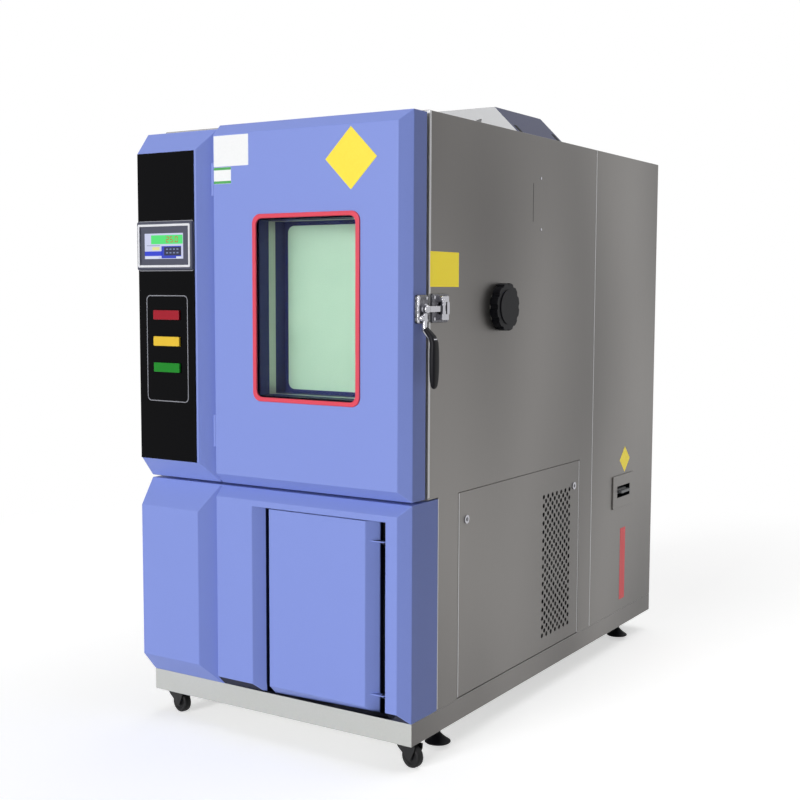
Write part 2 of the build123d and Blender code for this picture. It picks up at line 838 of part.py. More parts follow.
# Shelf: a slotted plate that rests on the liner's rails
shelf_width = space_width - 2 * sheet - 2 * shelf_side_gap
slot_pitch = (shelf_width - 2 * shelf_border) / shelf_slots
with BuildPart() as shelf:
    with BuildSketch(Plane.XY.offset(shelf_bottom)):
        with Locations((space_x, shelf_y)):
            Rectangle(shelf_width, shelf_length)
            with GridLocations(slot_pitch, (shelf_length - shelf_border) / 2, shelf_slots, 2):
                Rectangle(
                    slot_pitch * 0.7,
                    shelf_length / 2 - 1.5 * shelf_border,
                    mode=Mode.SUBTRACT,
                )
    extrude(amount=shelf_thickness)
shelf.part.label = "shelf"
export_step(shelf.part, "parts/shelf.step")

# Control column: a folded housing with sloped front edges and cut-outs for its controls
plate_left = left_x + 2
plate_x = plate_left + plate_width / 2
plate_top = column_top - plate_top_margin
plate_z = plate_top - plate_height / 2
controller_z = plate_top - controller_from_plate_top - controller_height / 2
button_frame_z = plate_top - button_frame_from_plate_top - button_frame_height / 2
button_z_top = button_frame_z + button_frame_height / 2 - button_first_drop
button_x = plate_x + 2
steel_face = column_face + plate_thickness
with BuildPart() as control_column:
    with BuildSketch(Plane.XY.offset(upper_bottom)):
        with Locations((left_x + column_width / 2, (steel_face + body_front) / 2)):
            Rectangle(column_width, body_front - steel_face)
    extrude(amount=column_top - upper_bottom)
    face = control_column.faces().sort_by(Axis.Y)[0]
    top_edge = face.edges().sort_by(Axis.Z)[-1]
    foot_edge = face.edges().sort_by(Axis.Z)[0]
    chamfer(
        [top_edge, foot_edge],
        length=column_slope_height,
        length2=relief_back - steel_face,
        reference=face,
    )
    face = control_column.faces().sort_by(Axis.Y)[0]
    right_edges = control_column.edges().filter_by(Axis.Z).group_by(Axis.X)[-1]
    chamfer(right_edges.sort_by(Axis.Y)[0], length=relief_back - steel_face)
    back_face = control_column.faces().sort_by(Axis.Y)[-1]
    offset(amount=-sheet, openings=back_face)
    with BuildSketch(Plane.XZ.offset(-steel_face - 2 * sheet)):
        with Locations((plate_x, controller_z)):
            Rectangle(screen_width + 6, screen_height + 6)
        with Locations((button_x, button_z_top - button_pitch)):
            with GridLocations(0, button_pitch, 1, 3):
                Rectangle(button_width + 2 * button_clearance, button_height + 2 * button_clearance)
    extrude(amount=4 * sheet, mode=Mode.SUBTRACT)
control_column.part.label = "control_column"
export_step(control_column.part, "parts/control_column.step")

# Control plate: the black sheet on the column's face
with BuildPart() as control_plate:
    with BuildSketch(Plane.XZ.offset(-steel_face)):
        with Locations((plate_x, plate_z)):
            Rectangle(plate_width, plate_height)
        with Locations((plate_x, controller_z)):
            Rectangle(screen_width + 6, screen_height + 6, mode=Mode.SUBTRACT)
        with Locations((button_x, button_z_top - button_pitch)):
            with GridLocations(0, button_pitch, 1, 3):
                Rectangle(
                    button_width + 2 * button_clearance,
                    button_height + 2 * button_clearance,
                    mode=Mode.SUBTRACT,
                )
    extrude(amount=plate_thickness)
control_plate.part.label = "control_plate"
export_step(control_plate.part, "parts/control_plate.step")

# Controller: a raised bezel and the display module that fills it
with BuildPart() as controller_bezel:
    with BuildSketch(Plane.XZ.offset(-column_face)):
        with Locations((plate_x, controller_z)):
            RectangleRounded(controller_width, controller_height, 4)
            Rectangle(screen_width + 6, screen_height + 6, mode=Mode.SUBTRACT)
    extrude(amount=controller_proud)
    chamfer(controller_bezel.faces().sort_by(Axis.Y)[0].outer_wire().edges(), length=2)
controller_bezel.part.label = "controller_bezel"
export_step(controller_bezel.part, "parts/controller_bezel.step")

with BuildPart() as controller_display:
    with BuildSketch(Plane.XZ.offset(controller_proud - screen_recess - column_face)):
        with Locations((plate_x, controller_z)):
            Rectangle(screen_width + 6 - 2 * seat_gap, screen_height + 6 - 2 * seat_gap)
    extrude(amount=-controller_depth)
controller_display.part.label = "controller_display"
export_step(controller_display.part, "parts/controller_display.step")


def build_button(z):
    """Rectangular push button whose body slides through the plate and the column."""
    with BuildPart() as button:
        with BuildSketch(Plane.XZ.offset(button_proud - column_face)):
            with Locations((button_x, z)):
                RectangleRounded(button_width, button_height, button_corner)
        extrude(amount=-button_depth)
        fillet(button.faces().sort_by(Axis.Y)[0].edges(), radius=1.5)
    return button


for number, button_name in enumerate(("red", "yellow", "green")):
    button = build_button(button_z_top - number * button_pitch)
    button.part.label = "push_button_" + button_name
    export_step(button.part, "parts/push_button_" + button_name + ".step")

# Lower front: two raised fields with sloped edges, the access door's pocket and its hinge lugs
pocket_x0 = left_x + pocket_left
pocket_x1 = right_x - pocket_right_margin
pocket_width = pocket_x1 - pocket_x0
pocket_bottom = base_top + pocket_sill
pocket_top = lower_top - pocket_top_drop
lower_door_x0 = pocket_x0 + lower_door_left_gap
lower_door_x1 = pocket_x1 - lower_door_right_gap
lower_door_width = lower_door_x1 - lower_door_x0
lower_door_z0 = pocket_bottom + lower_door_clearance
lower_door_z1 = pocket_top - lower_door_clearance
lower_pivot_x = pocket_x1 - lower_pivot_right_gap
lower_pivot_y = door_face + lower_pivot_depth
lug_z_places = (lower_door_z0 + lower_hinge_end, lower_door_z1 - lower_hinge_end)
with BuildPart() as lower_fascia:
    with BuildSketch(Plane.XY.offset(base_top)):
        with Locations(((door_left + right_x) / 2, (door_face + relief_back) / 2)):
            Rectangle(door_width, door_projection)
    extrude(amount=lower_height)
    front = lower_fascia.faces().sort_by(Axis.Y)[0]
    level_edges = front.edges().filter_by(Axis.X)
    chamfer(level_edges, length=door_projection - 0.01)
    corner_edges = lower_fascia.edges().filter_by(Axis.Z).group_by(Axis.Y)[0]
    chamfer(corner_edges.sort_by(Axis.X)[-1], length=door_projection - 0.01)
    with BuildSketch(Plane.XY.offset(base_top)):
        with Locations((left_x + column_width / 2, (column_face + relief_back) / 2)):
            Rectangle(column_width, column_projection)
    extrude(amount=lower_height)
    column_front = lower_fascia.faces().sort_by(Axis.Y)[0]
    chamfer(
        column_front.edges().sort_by(Axis.Z)[-1],
        length=lower_column_slope_height,
        length2=column_projection - 0.01,
        reference=column_front,
    )
    column_front = lower_fascia.faces().sort_by(Axis.Y)[0]
    chamfer(
        column_front.edges().sort_by(Axis.Z)[0],
        length=column_slope_height,
        length2=column_projection - 0.01,
        reference=column_front,
    )
    column_edges = lower_fascia.edges().filter_by(Axis.Z).group_by(Axis.Y)[0]
    chamfer(column_edges.sort_by(Axis.X)[-1], length=column_projection - 0.01)
    with BuildSketch(Plane.XY.offset(base_top)):
        with Locations((cabinet_x, (relief_back + lower_side_front) / 2)):
            Rectangle(cabinet_width, lower_side_depth)
    extrude(amount=lower_height)
    with BuildSketch(Plane.XZ.offset(-lower_side_front)):
        with Locations(((pocket_x0 + pocket_x1) / 2, (pocket_bottom + pocket_top) / 2)):
            Rectangle(pocket_width, pocket_top - pocket_bottom)
    extrude(amount=lower_side_depth + door_projection, mode=Mode.SUBTRACT)
    with BuildSketch(Plane.XY.offset(pocket_bottom)):
        with BuildLine():
            Polyline(
                (pocket_x0 - door_projection, door_face),
                (pocket_x0, relief_back),
                (pocket_x0, door_face),
                (pocket_x0 - door_projection, door_face),
            )
        make_face()
    extrude(amount=pocket_top - pocket_bottom, mode=Mode.SUBTRACT)
    back = lower_fascia.faces().sort_by(Axis.Y)[-1]
    offset(amount=-sheet, openings=back)
    for lug_z in lug_z_places:
        with BuildSketch(Plane.XY.offset(lug_z)):
            with Locations((lower_pivot_x, lower_pivot_y)):
                Circle(lower_lug_half)
            with Locations(((lower_pivot_x + pocket_x1) / 2, lower_pivot_y)):
                Rectangle(pocket_x1 - lower_pivot_x, 2 * lower_lug_half)
        extrude(amount=lug_height)
        with BuildSketch(Plane.XY.offset(lug_z)):
            with Locations((lower_pivot_x, lower_pivot_y)):
                Circle(lower_pin_radius)
        extrude(amount=2 * lug_height + lower_pin_end)
lower_fascia.part.label = "lower_fascia"
export_step(lower_fascia.part, "parts/lower_fascia.step")

# Access door of the lower front: a tray with two arms that turn on the lugs' pins
arm_left = lower_door_x1 - door_projection + 4
with BuildPart() as lower_door:
    with BuildSketch(Plane.XY.offset(lower_door_z0)):
        with Locations(((lower_door_x0 + lower_door_x1) / 2, door_face + lower_door_depth / 2)):
            Rectangle(lower_door_width, lower_door_depth)
    extrude(amount=lower_door_z1 - lower_door_z0)
    front = lower_door.faces().sort_by(Axis.Y)[0]
    chamfer(front.edges().filter_by(Axis.X).sort_by(Axis.Z)[0], length=door_projection)
    corner_edges = lower_door.edges().filter_by(Axis.Z).group_by(Axis.Y)[0]
    chamfer(corner_edges.sort_by(Axis.X)[-1], length=door_projection)
    back = lower_door.faces().sort_by(Axis.Y)[-1]
    offset(amount=-lower_door_sheet, openings=back)
    for lug_z in lug_z_places:
        with BuildSketch(Plane.XY.offset(lug_z + lug_height + seat_gap)):
            with Locations((lower_pivot_x, lower_pivot_y)):
                Circle(lower_lug_half)
            with Locations(((lower_pivot_x + arm_left) / 2, lower_pivot_y)):
                Rectangle(lower_pivot_x - arm_left, 2 * lower_lug_half)
        extrude(amount=lug_height)
        with BuildSketch(Plane.XY.offset(lug_z + lug_height)):
            with Locations((lower_pivot_x, lower_pivot_y)):
                Circle(lower_pin_radius + running_fit)
        extrude(amount=2 * lug_height, mode=Mode.SUBTRACT)
lower_door.part.label = "lower_door"
export_step(lower_door.part, "parts/lower_door.step")

# Door skin: the blue outer sheet with sloped top, foot and right edges and a window cut-out
window_width = door_width - window_left_margin - window_right_margin
window_x = door_left + window_left_margin + window_width / 2
window_z = door_middle - window_drop
door_x = (door_left + right_x) / 2
with BuildPart() as door_skin:
    with BuildSketch(Plane.XY.offset(upper_bottom)):
        with Locations((door_x, (door_face + door_back) / 2)):
            Rectangle(door_width, door_back - door_face)
    extrude(amount=door_height)
    front = door_skin.faces().sort_by(Axis.Y)[0]
    chamfer(front.edges().filter_by(Axis.X), length=door_projection)
    corner_edges = door_skin.edges().filter_by(Axis.Z).group_by(Axis.Y)[0]
    chamfer(corner_edges.sort_by(Axis.X)[-1], length=door_projection)
    back = door_skin.faces().sort_by(Axis.Y)[-1]
    offset(amount=-sheet, openings=back)
    with BuildSketch(Plane.XZ.offset(-door_face - 2 * sheet)):
        with Locations((window_x, window_z)):
            RectangleRounded(window_width, window_height, window_corner)
    extrude(amount=3 * sheet, mode=Mode.SUBTRACT)
door_skin.part.label = "door_skin"
export_step(door_skin.part, "parts/door_skin.step")

# Window: gasket on the face, two panes, and the frame between them with its spacer band
tunnel_width = window_width - window_step
tunnel_height = window_height - window_step
pane_front = door_face + sheet
frame_front = pane_front + glass_thickness
inner_pane_front = door_face + inner_glass_depth
with BuildPart() as window_gasket:
    with BuildSketch(Plane.XZ.offset(-door_face)):
        with Locations((window_x, window_z)):
            RectangleRounded(
                window_width + 2 * gasket_width,
                window_height + 2 * gasket_width - 2 * gasket_lip,
                window_corner + gasket_width / 2,
            )
            RectangleRounded(
                window_width - 2 * gasket_lip,
                window_height - 2 * gasket_lip,
                window_corner - gasket_lip,
                mode=Mode.SUBTRACT,
            )
    extrude(amount=gasket_proud)
    outer_rim = window_gasket.faces().sort_by(Axis.Y)[0]
    fillet(outer_rim.edges(), radius=gasket_proud * 0.5)
window_gasket.part.label = "window_gasket"
export_step(window_gasket.part, "parts/window_gasket.step")

with BuildPart() as window_panes:
    with BuildSketch(Plane.XZ.offset(-pane_front)):
        with Locations((window_x, window_z)):
            Rectangle(window_width + 2 * glass_overlap, window_height + 2 * glass_overlap)
    extrude(amount=-glass_thickness)
    with BuildSketch(Plane.XZ.offset(-inner_pane_front)):
        with Locations((window_x, window_z)):
            Rectangle(tunnel_width, tunnel_height)
    extrude(amount=-glass_thickness)
window_panes.part.label = "window_panes"
export_step(window_panes.part, "parts/window_panes.step")

frame_wall = 2.0
with BuildPart() as window_frame:
    with BuildSketch(Plane.XZ.offset(-frame_front)):
        with Locations((window_x, window_z)):
            Rectangle(tunnel_width + 2 * frame_wall, tunnel_height + 2 * frame_wall)
            Rectangle(tunnel_width, tunnel_height, mode=Mode.SUBTRACT)
    extrude(amount=frame_front - inner_pane_front - glass_thickness)
    with BuildSketch(Plane.XZ.offset(-frame_front)):
        with Locations((window_x, window_z)):
            Rectangle(window_width + 2 * glass_overlap, window_height + 2 * glass_overlap)
            Rectangle(tunnel_width, tunnel_height, mode=Mode.SUBTRACT)
    extrude(amount=-frame_wall)
    with BuildSketch(Plane.XZ.offset(-door_face - spacer_front)):
        with Locations((window_x, window_z)):
            Rectangle(tunnel_width, tunnel_height)
            Rectangle(tunnel_width - 2 * sheet, tunnel_height - 2 * sheet, mode=Mode.SUBTRACT)
    extrude(amount=-spacer_depth)
window_frame.part.label = "window_frame"
export_step(window_frame.part, "parts/window_frame.step")

# Door core: the insulated body behind the skin, with a tapered plug for the chamber's mouth
core_front = door_face + core_front_depth
with BuildPart() as door_core:
    with BuildSketch(Plane.XZ.offset(-door_back)):
        with Locations((door_x, door_middle)):
            Rectangle(door_width - 2 * sheet, door_height - 2 * sheet)
    extrude(amount=door_back - core_front)
    with BuildSketch(Plane.XZ.offset(-door_back)):
        with Locations((space_x, door_middle)):
            Rectangle(space_width - 2 * throat_clearance, space_height - 2 * throat_clearance)
    extrude(amount=-plug_depth, taper=plug_taper)
    with BuildSketch(Plane.XZ.offset(-core_front)):
        with Locations((window_x, window_z)):
            Rectangle(
                tunnel_width + 2 * frame_wall + 2 * seat_gap,
                tunnel_height + 2 * frame_wall + 2 * seat_gap,
            )
    extrude(amount=core_front - inner_pane_front - glass_thickness, mode=Mode.SUBTRACT)
    with BuildSketch(Plane.XZ.offset(-core_front)):
        with Locations((window_x, window_z)):
            RectangleRounded(
                tunnel_width - 2 * window_step, tunnel_height - 2 * window_step, window_corner
            )
    extrude(amount=core_front - door_back - plug_depth, mode=Mode.SUBTRACT)
door_core.part.label = "door_core"
export_step(door_core.part, "parts/door_core.step")

# Door seal: a rubber ring around the plug that meets the front frame
with BuildPart() as door_seal:
    with BuildSketch(Plane.XZ.offset(-door_back)):
        with Locations((space_x, door_middle)):
            Rectangle(
                space_width + 2 * (seal_inset + seal_width),
                space_height + 2 * (seal_inset + seal_width),
            )
            Rectangle(
                space_width + 2 * seal_inset, space_height + 2 * seal_inset, mode=Mode.SUBTRACT
            )
    extrude(amount=seat_gap - door_seal_gap)
door_seal.part.label = "door_seal"
export_step(door_seal.part, "parts/door_seal.step")

# Door hinges: barrels in the notch beside the column, with a leaf on each side of the gap
hinge_x = door_left - hinge_axis_left
hinge_y = door_face + hinge_axis_back
hinge_z_places = (upper_bottom + hinge_end_distance, door_top - hinge_end_distance)
knuckle = hinge_length / 3
leaf_back = hinge_y + hinge_leaf_depth
with BuildPart() as hinge_column_leaves:
    for hinge_z in hinge_z_places:
        with BuildSketch(Plane.XY.offset(hinge_z - hinge_length / 2)):
            with Locations((column_right + hinge_leaf / 2, (hinge_y + leaf_back) / 2)):
                Rectangle(hinge_leaf, leaf_back - hinge_y)
            with Locations((hinge_x, hinge_y)):
                Circle(hinge_barrel_radius)
        extrude(amount=hinge_length)
        with BuildSketch(Plane.XY.offset(hinge_z - knuckle / 2 - seat_gap)):
            with Locations((hinge_x, hinge_y)):
                Circle(hinge_barrel_radius + 2)
        extrude(amount=knuckle + 2 * seat_gap, mode=Mode.SUBTRACT)
        with BuildSketch(Plane.XY.offset(hinge_z - hinge_length / 2)):
            with Locations((hinge_x, hinge_y)):
                Circle(hinge_pin_radius)
        extrude(amount=hinge_length)
hinge_column_leaves.part.label = "hinge_column_leaves"
export_step(hinge_column_leaves.part, "parts/hinge_column_leaves.step")

with BuildPart() as hinge_door_leaves:
    for hinge_z in hinge_z_places:
        with BuildSketch(Plane.XY.offset(hinge_z - knuckle / 2)):
            with Locations((door_left - hinge_leaf / 2, (hinge_y + leaf_back) / 2)):
                Rectangle(hinge_leaf, leaf_back - hinge_y)
            with Locations((hinge_x, hinge_y)):
                Circle(hinge_barrel_radius)
                Circle(hinge_pin_radius + running_fit, mode=Mode.SUBTRACT)
        extrude(amount=knuckle)
hinge_door_leaves.part.label = "hinge_door_leaves"
export_step(hinge_door_leaves.part, "parts/hinge_door_leaves.step")

# Latch: a base plate on the door's side, a keeper on the body and the lever that joins them
latch_y = (relief_back + door_back) / 2 + 2
latch_z = door_middle - latch_below_middle
lever_x = right_x + latch_thickness + seat_gap
with BuildPart() as latch_base:
    with BuildSketch(Plane.YZ.offset(right_x)):
        with Locations((latch_y, latch_z)):
            RectangleRounded(latch_width, latch_height, 6)
    extrude(amount=latch_thickness)
    chamfer(latch_base.faces().sort_by(Axis.X)[-1].edges(), length=2)
    with BuildSketch(Plane.YZ.offset(right_x + latch_thickness)):
        with Locations((latch_y, latch_z)):
            Circle(lever_pin_radius)
    extrude(amount=lever_thickness + 2 * seat_gap)
    with BuildSketch(Plane.YZ.offset(lever_x + lever_thickness + seat_gap)):
        with Locations((latch_y, latch_z)):
            Circle(lever_pin_radius + 4)
    extrude(amount=3)
latch_base.part.label = "latch_base"
export_step(latch_base.part, "parts/latch_base.step")

grip_x = lever_x + grip_standoff
grip_top = latch_z - lever_drop
tang_foot = grip_top - grip_standoff - tang_length
with BuildPart() as latch_lever:
    with BuildSketch(Plane.YZ.offset(lever_x)):
        with Locations((latch_y, latch_z)):
            Circle(lever_hub_radius)
        with Locations((latch_y + hook_reach / 2, latch_z)):
            Rectangle(hook_reach, hook_height)
        with Locations((latch_y, latch_z - lever_drop / 2)):
            Rectangle(hook_height, lever_drop)
    extrude(amount=lever_thickness)
    with BuildSketch(Plane.YZ.offset(lever_x)):
        with Locations((latch_y, latch_z)):
            Circle(lever_pin_radius + running_fit)
    extrude(amount=lever_thickness, mode=Mode.SUBTRACT)
    with BuildSketch(Plane.XZ.offset(-latch_y - hook_height / 2)):
        with BuildLine():
            Polyline(
                (lever_x, grip_top),
                (lever_x + lever_thickness, grip_top),
                (grip_x + lever_thickness, grip_top - grip_standoff),
                (grip_x + lever_thickness, tang_foot),
                (grip_x, tang_foot),
                (grip_x, grip_top - grip_standoff - lever_thickness),
                (lever_x, grip_top - lever_thickness),
                (lever_x, grip_top),
            )
        make_face()
    extrude(amount=hook_height)
latch_lever.part.label = "latch_lever"
export_step(latch_lever.part, "parts/latch_lever.step")

grip_foot = grip_top - grip_standoff - grip_length
with BuildPart() as latch_grip:
    with BuildSketch(Plane.XY.offset(grip_foot)):
        with Locations((grip_x + lever_thickness / 2, latch_y)):
            RectangleRounded(grip_thickness, grip_width, 5)
    extrude(amount=grip_length - lever_thickness)
    fillet(latch_grip.faces().sort_by(Axis.Z)[0].edges(), radius=4)
    with BuildSketch(Plane.XY.offset(tang_foot)):
        with Locations((grip_x + lever_thickness / 2, latch_y)):
            Rectangle(lever_thickness, hook_height)
    extrude(amount=tang_length, mode=Mode.SUBTRACT)
latch_grip.part.label = "latch_grip"
export_step(latch_grip.part, "parts/latch_grip.step")

keeper_y = body_front + keeper_depth / 2 + 8
with BuildPart() as latch_keeper:
    with BuildSketch(Plane.YZ.offset(right_x)):
        with Locations((keeper_y, latch_z + 2)):
            RectangleRounded(keeper_depth, keeper_height, 6)
    extrude(amount=keeper_thickness)
    chamfer(latch_keeper.faces().sort_by(Axis.X)[-1].edges(), length=2)
latch_keeper.part.label = "latch_keeper"
export_step(latch_keeper.part, "parts/latch_keeper.step")

# Breaker on the rear side: a black surround with a recessed window, and its rocker bar
breaker_pin_radius = 3.0
rocker_x = right_x - 12
with BuildPart() as breaker_housing:
    with BuildSketch(Plane.YZ.offset(right_x)):
        with Locations((breaker_y, breaker_z)):
            RectangleRounded(breaker_width, breaker_height, 5)
    extrude(amount=breaker_proud)
    chamfer(breaker_housing.faces().sort_by(Axis.X)[-1].edges(), length=1.5)
    with BuildSketch(Plane.YZ.offset(right_x)):
        with Locations((breaker_y, breaker_z)):
            Rectangle(breaker_cut_width - 2 * seat_gap, breaker_cut_height - 2 * seat_gap)
    extrude(amount=-breaker_body_depth)
    with BuildSketch(Plane.YZ.offset(right_x + breaker_proud)):
        with Locations((breaker_y, breaker_z)):
            Rectangle(breaker_window_width, breaker_window_height)
    extrude(amount=-breaker_proud - 2 * breaker_toggle_radius - 4, mode=Mode.SUBTRACT)
    with BuildSketch(Plane.XZ.offset(-breaker_y - breaker_window_width / 2 - 5)):
        with Locations((rocker_x, breaker_z)):
            Circle(breaker_pin_radius)
    extrude(amount=breaker_window_width + 10)
breaker_housing.part.label = "breaker_housing"
export_step(breaker_housing.part, "parts/breaker_housing.step")

with BuildPart() as breaker_toggle:
    with BuildSketch(Plane.XZ.offset(-breaker_y - breaker_toggle_length / 2)):
        with Locations((rocker_x, breaker_z)):
            Circle(breaker_toggle_radius - 2)
        with Locations((rocker_x + breaker_toggle_radius, breaker_z)):
            Rectangle(2 * breaker_toggle_radius, 9)
        with Locations((rocker_x, breaker_z)):
            Circle(breaker_pin_radius + running_fit, mode=Mode.SUBTRACT)
    extrude(amount=breaker_toggle_length)
breaker_toggle.part.label = "breaker_toggle"
export_step(breaker_toggle.part, "parts/breaker_toggle.step")

# Roof hood: a sheet cover with sloped sides over the fan motor, slotted near its foot
hood_front = relief_back + hood_from_front
hood_foot_width = hood_top_width + 2 * hood_height
with BuildPart() as roof_hood:
    with BuildSketch(Plane.XZ.offset(-hood_front - hood_length)):
        with BuildLine():
            Polyline(
                (cabinet_x - hood_foot_width / 2, body_top),
                (cabinet_x + hood_foot_width / 2, body_top),
                (cabinet_x + hood_top_width / 2, body_top + hood_height),
                (cabinet_x - hood_top_width / 2, body_top + hood_height),
                (cabinet_x - hood_foot_width / 2, body_top),
            )
        make_face()
    extrude(amount=hood_length)
    foot = roof_hood.faces().sort_by(Axis.Z)[0]
    offset(amount=-sheet, openings=foot)
    slot_x = cabinet_x + hood_foot_width / 2 - hood_slot_length / 2 - hood_slot_rise
    with BuildSketch(Plane.XY.offset(body_top)):
        with Locations((slot_x, hood_front + hood_length / 2)):
            with GridLocations(0, hood_length - 2 * hood_slot_end, 1, 2):
                Rectangle(hood_slot_length, hood_slot_width)
    extrude(amount=hood_height, mode=Mode.SUBTRACT)
roof_hood.part.label = "roof_hood"
export_step(roof_hood.part, "parts/roof_hood.step")

# Machines on the base floor: water tank, compressors, condenser and its fan
tank_x = (pocket_x0 + pocket_x1) / 2
tank_y = lower_side_front + tank_depth / 2 + 20
with BuildPart() as water_tank:
    with BuildSketch(Plane.XY.offset(base_top)):
        with Locations((tank_x, tank_y)):
            RectangleRounded(tank_width, tank_depth, 20)
    extrude(amount=tank_height)
    with BuildSketch(Plane.XY.offset(base_top + tank_height)):
        with Locations((tank_x, tank_y - tank_depth / 4)):
            Circle(30)
    extrude(amount=18)
water_tank.part.label = "water_tank"
export_step(water_tank.part, "parts/water_tank.step")

compressor_places = [(space_x + compressor_radius / 2, access_y + step * compressor_pitch) for step in (0, 1)]
with BuildPart() as compressors:
    with BuildSketch(Plane.XY.offset(base_top)):
        with Locations(compressor_places):
            Circle(compressor_radius)
    extrude(amount=compressor_height)
    chamfer(compressors.edges().group_by(Axis.Z)[-1], length=compressor_shoulder)
    with BuildSketch(Plane.XY.offset(base_top)):
        with Locations(compressor_places):
            Rectangle(2 * (compressor_radius + compressor_foot), compressor_radius)
    extrude(amount=2 * plate)
compressors.part.label = "compressors"
export_step(compressors.part, "parts/compressors.step")

condenser_y = rear_y - sheet - 40 - condenser_depth / 2
condenser_z = vent_bottom + vent_height / 2
shroud_wall = 3.0
condenser_fan_depth = 40.0
fan_axis_plane = Plane.XZ.offset(-condenser_y + condenser_depth / 2)
with BuildPart() as condenser:
    with BuildSketch(Plane.XY.offset(base_top)):
        with Locations((cabinet_x, condenser_y)):
            Rectangle(condenser_width, condenser_depth)
    extrude(amount=condenser_z + condenser_height / 2 - base_top)
    with BuildSketch(fan_axis_plane):
        with Locations((cabinet_x, condenser_z)):
            Circle(condenser_fan_radius + 12)
            Circle(condenser_fan_radius + 12 - shroud_wall, mode=Mode.SUBTRACT)
    extrude(amount=condenser_fan_depth + 10)
    with BuildSketch(fan_axis_plane):
        with Locations((cabinet_x, condenser_z)):
            Circle(fan_shaft_radius)
    extrude(amount=condenser_fan_depth)
condenser.part.label = "condenser"
export_step(condenser.part, "parts/condenser.step")

blade_y = condenser_y - condenser_depth / 2 - condenser_fan_depth / 2 - 4
with BuildPart() as condenser_fan:
    with BuildSketch(fan_axis_plane.offset(4)):
        with Locations((cabinet_x, condenser_z)):
            Circle(30)
    extrude(amount=condenser_fan_depth)
    for blade in range(5):
        angle = math.radians(blade * 72)
        root = Vector(math.cos(angle), 0, math.sin(angle))
        blade_plane = Plane(
            origin=Vector(cabinet_x, blade_y, condenser_z) + root * 20,
            x_dir=Vector(-math.sin(angle) * 0.9, 0.44, math.cos(angle) * 0.9),
            z_dir=root,
        )
        with BuildSketch(blade_plane):
            Rectangle(66, 2.5)
        extrude(amount=condenser_fan_radius - 24)
    with BuildSketch(fan_axis_plane.offset(4)):
        with Locations((cabinet_x, condenser_z)):
            Circle(fan_shaft_radius + running_fit)
    extrude(amount=condenser_fan_depth - 3, mode=Mode.SUBTRACT)
condenser_fan.part.label = "condenser_fan"
export_step(condenser_fan.part, "parts/condenser_fan.step")
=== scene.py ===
"""Looks of a floor-standing temperature and humidity test chamber, built round its CAD frame."""

import json
import math

import bmesh
import bpy
from mathutils import Matrix, Vector

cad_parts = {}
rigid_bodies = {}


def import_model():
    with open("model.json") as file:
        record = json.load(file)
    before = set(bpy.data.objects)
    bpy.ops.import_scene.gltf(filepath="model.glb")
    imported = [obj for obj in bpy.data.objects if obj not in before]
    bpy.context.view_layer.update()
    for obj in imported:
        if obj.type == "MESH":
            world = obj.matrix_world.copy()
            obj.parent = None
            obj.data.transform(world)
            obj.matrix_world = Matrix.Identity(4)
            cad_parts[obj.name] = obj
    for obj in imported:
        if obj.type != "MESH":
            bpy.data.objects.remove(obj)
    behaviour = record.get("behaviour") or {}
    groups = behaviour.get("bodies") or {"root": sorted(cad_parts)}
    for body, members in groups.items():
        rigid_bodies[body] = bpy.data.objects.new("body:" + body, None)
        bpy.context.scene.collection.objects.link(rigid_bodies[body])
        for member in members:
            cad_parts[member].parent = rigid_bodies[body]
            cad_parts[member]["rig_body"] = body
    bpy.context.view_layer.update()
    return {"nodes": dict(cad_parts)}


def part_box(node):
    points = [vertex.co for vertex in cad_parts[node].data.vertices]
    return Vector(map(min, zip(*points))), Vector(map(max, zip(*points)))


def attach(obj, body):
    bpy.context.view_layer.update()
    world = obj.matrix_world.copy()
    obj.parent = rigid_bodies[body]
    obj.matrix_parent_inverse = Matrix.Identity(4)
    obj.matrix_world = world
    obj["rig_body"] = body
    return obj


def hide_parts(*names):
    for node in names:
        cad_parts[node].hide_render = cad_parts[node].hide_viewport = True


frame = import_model()
nodes = frame["nodes"]

# Camera: it stands about four metres off the right front corner at chest height, looks slightly
# down, and has the photograph's lens and roll, found by fitting the cabinet's corners.
camera_place = Vector((2.0929, -3.5164, 1.2658))
camera_yaw = 0.564178
camera_pitch = -0.088132
camera_roll = 0.003691
camera_data = bpy.data.cameras.new("camera")
camera_data.lens = 55.906
camera_data.sensor_width = 36.0
camera = bpy.data.objects.new("camera", camera_data)
camera.matrix_world = (
    Matrix.Translation(camera_place)
    @ Matrix.Rotation(camera_yaw, 4, "Z")
    @ Matrix.Rotation(math.pi / 2 + camera_pitch, 4, "X")
    @ Matrix.Rotation(camera_roll, 4, "Z")
)
bpy.context.scene.collection.objects.link(camera)
bpy.context.scene.camera = camera

# Base frame: channel rails, crossbars and a floor sheet of mild steel, welded, and painted light
# grey. The four caster plates are zinc-plated and bolted under it.
MM = 0.001


def linear(hex_colour):
    """An sRGB hex colour as linear red, green, blue and alpha."""
    channels = [int(hex_colour[i : i + 2], 16) / 255 for i in (1, 3, 5)]
    return [c / 12.92 if c <= 0.04045 else ((c + 0.055) / 1.055) ** 2.4 for c in channels] + [1.0]


def add_node(tree, kind, settings=None, **inputs):
    """A shader node with its settings, and each input a value or a (node, output) link."""
    node = tree.nodes.new("ShaderNode" + kind)
    for name, value in (settings or {}).items():
        setattr(node, name, value)
    for name, value in inputs.items():
        socket = node.inputs[int(name[1:]) if name[0] == "_" else name.replace("_", " ")]
        if isinstance(value, tuple) and isinstance(value[0], bpy.types.Node):
            tree.links.new(value[0].outputs[value[1]], socket)
        else:
            socket.default_value = value
    return node


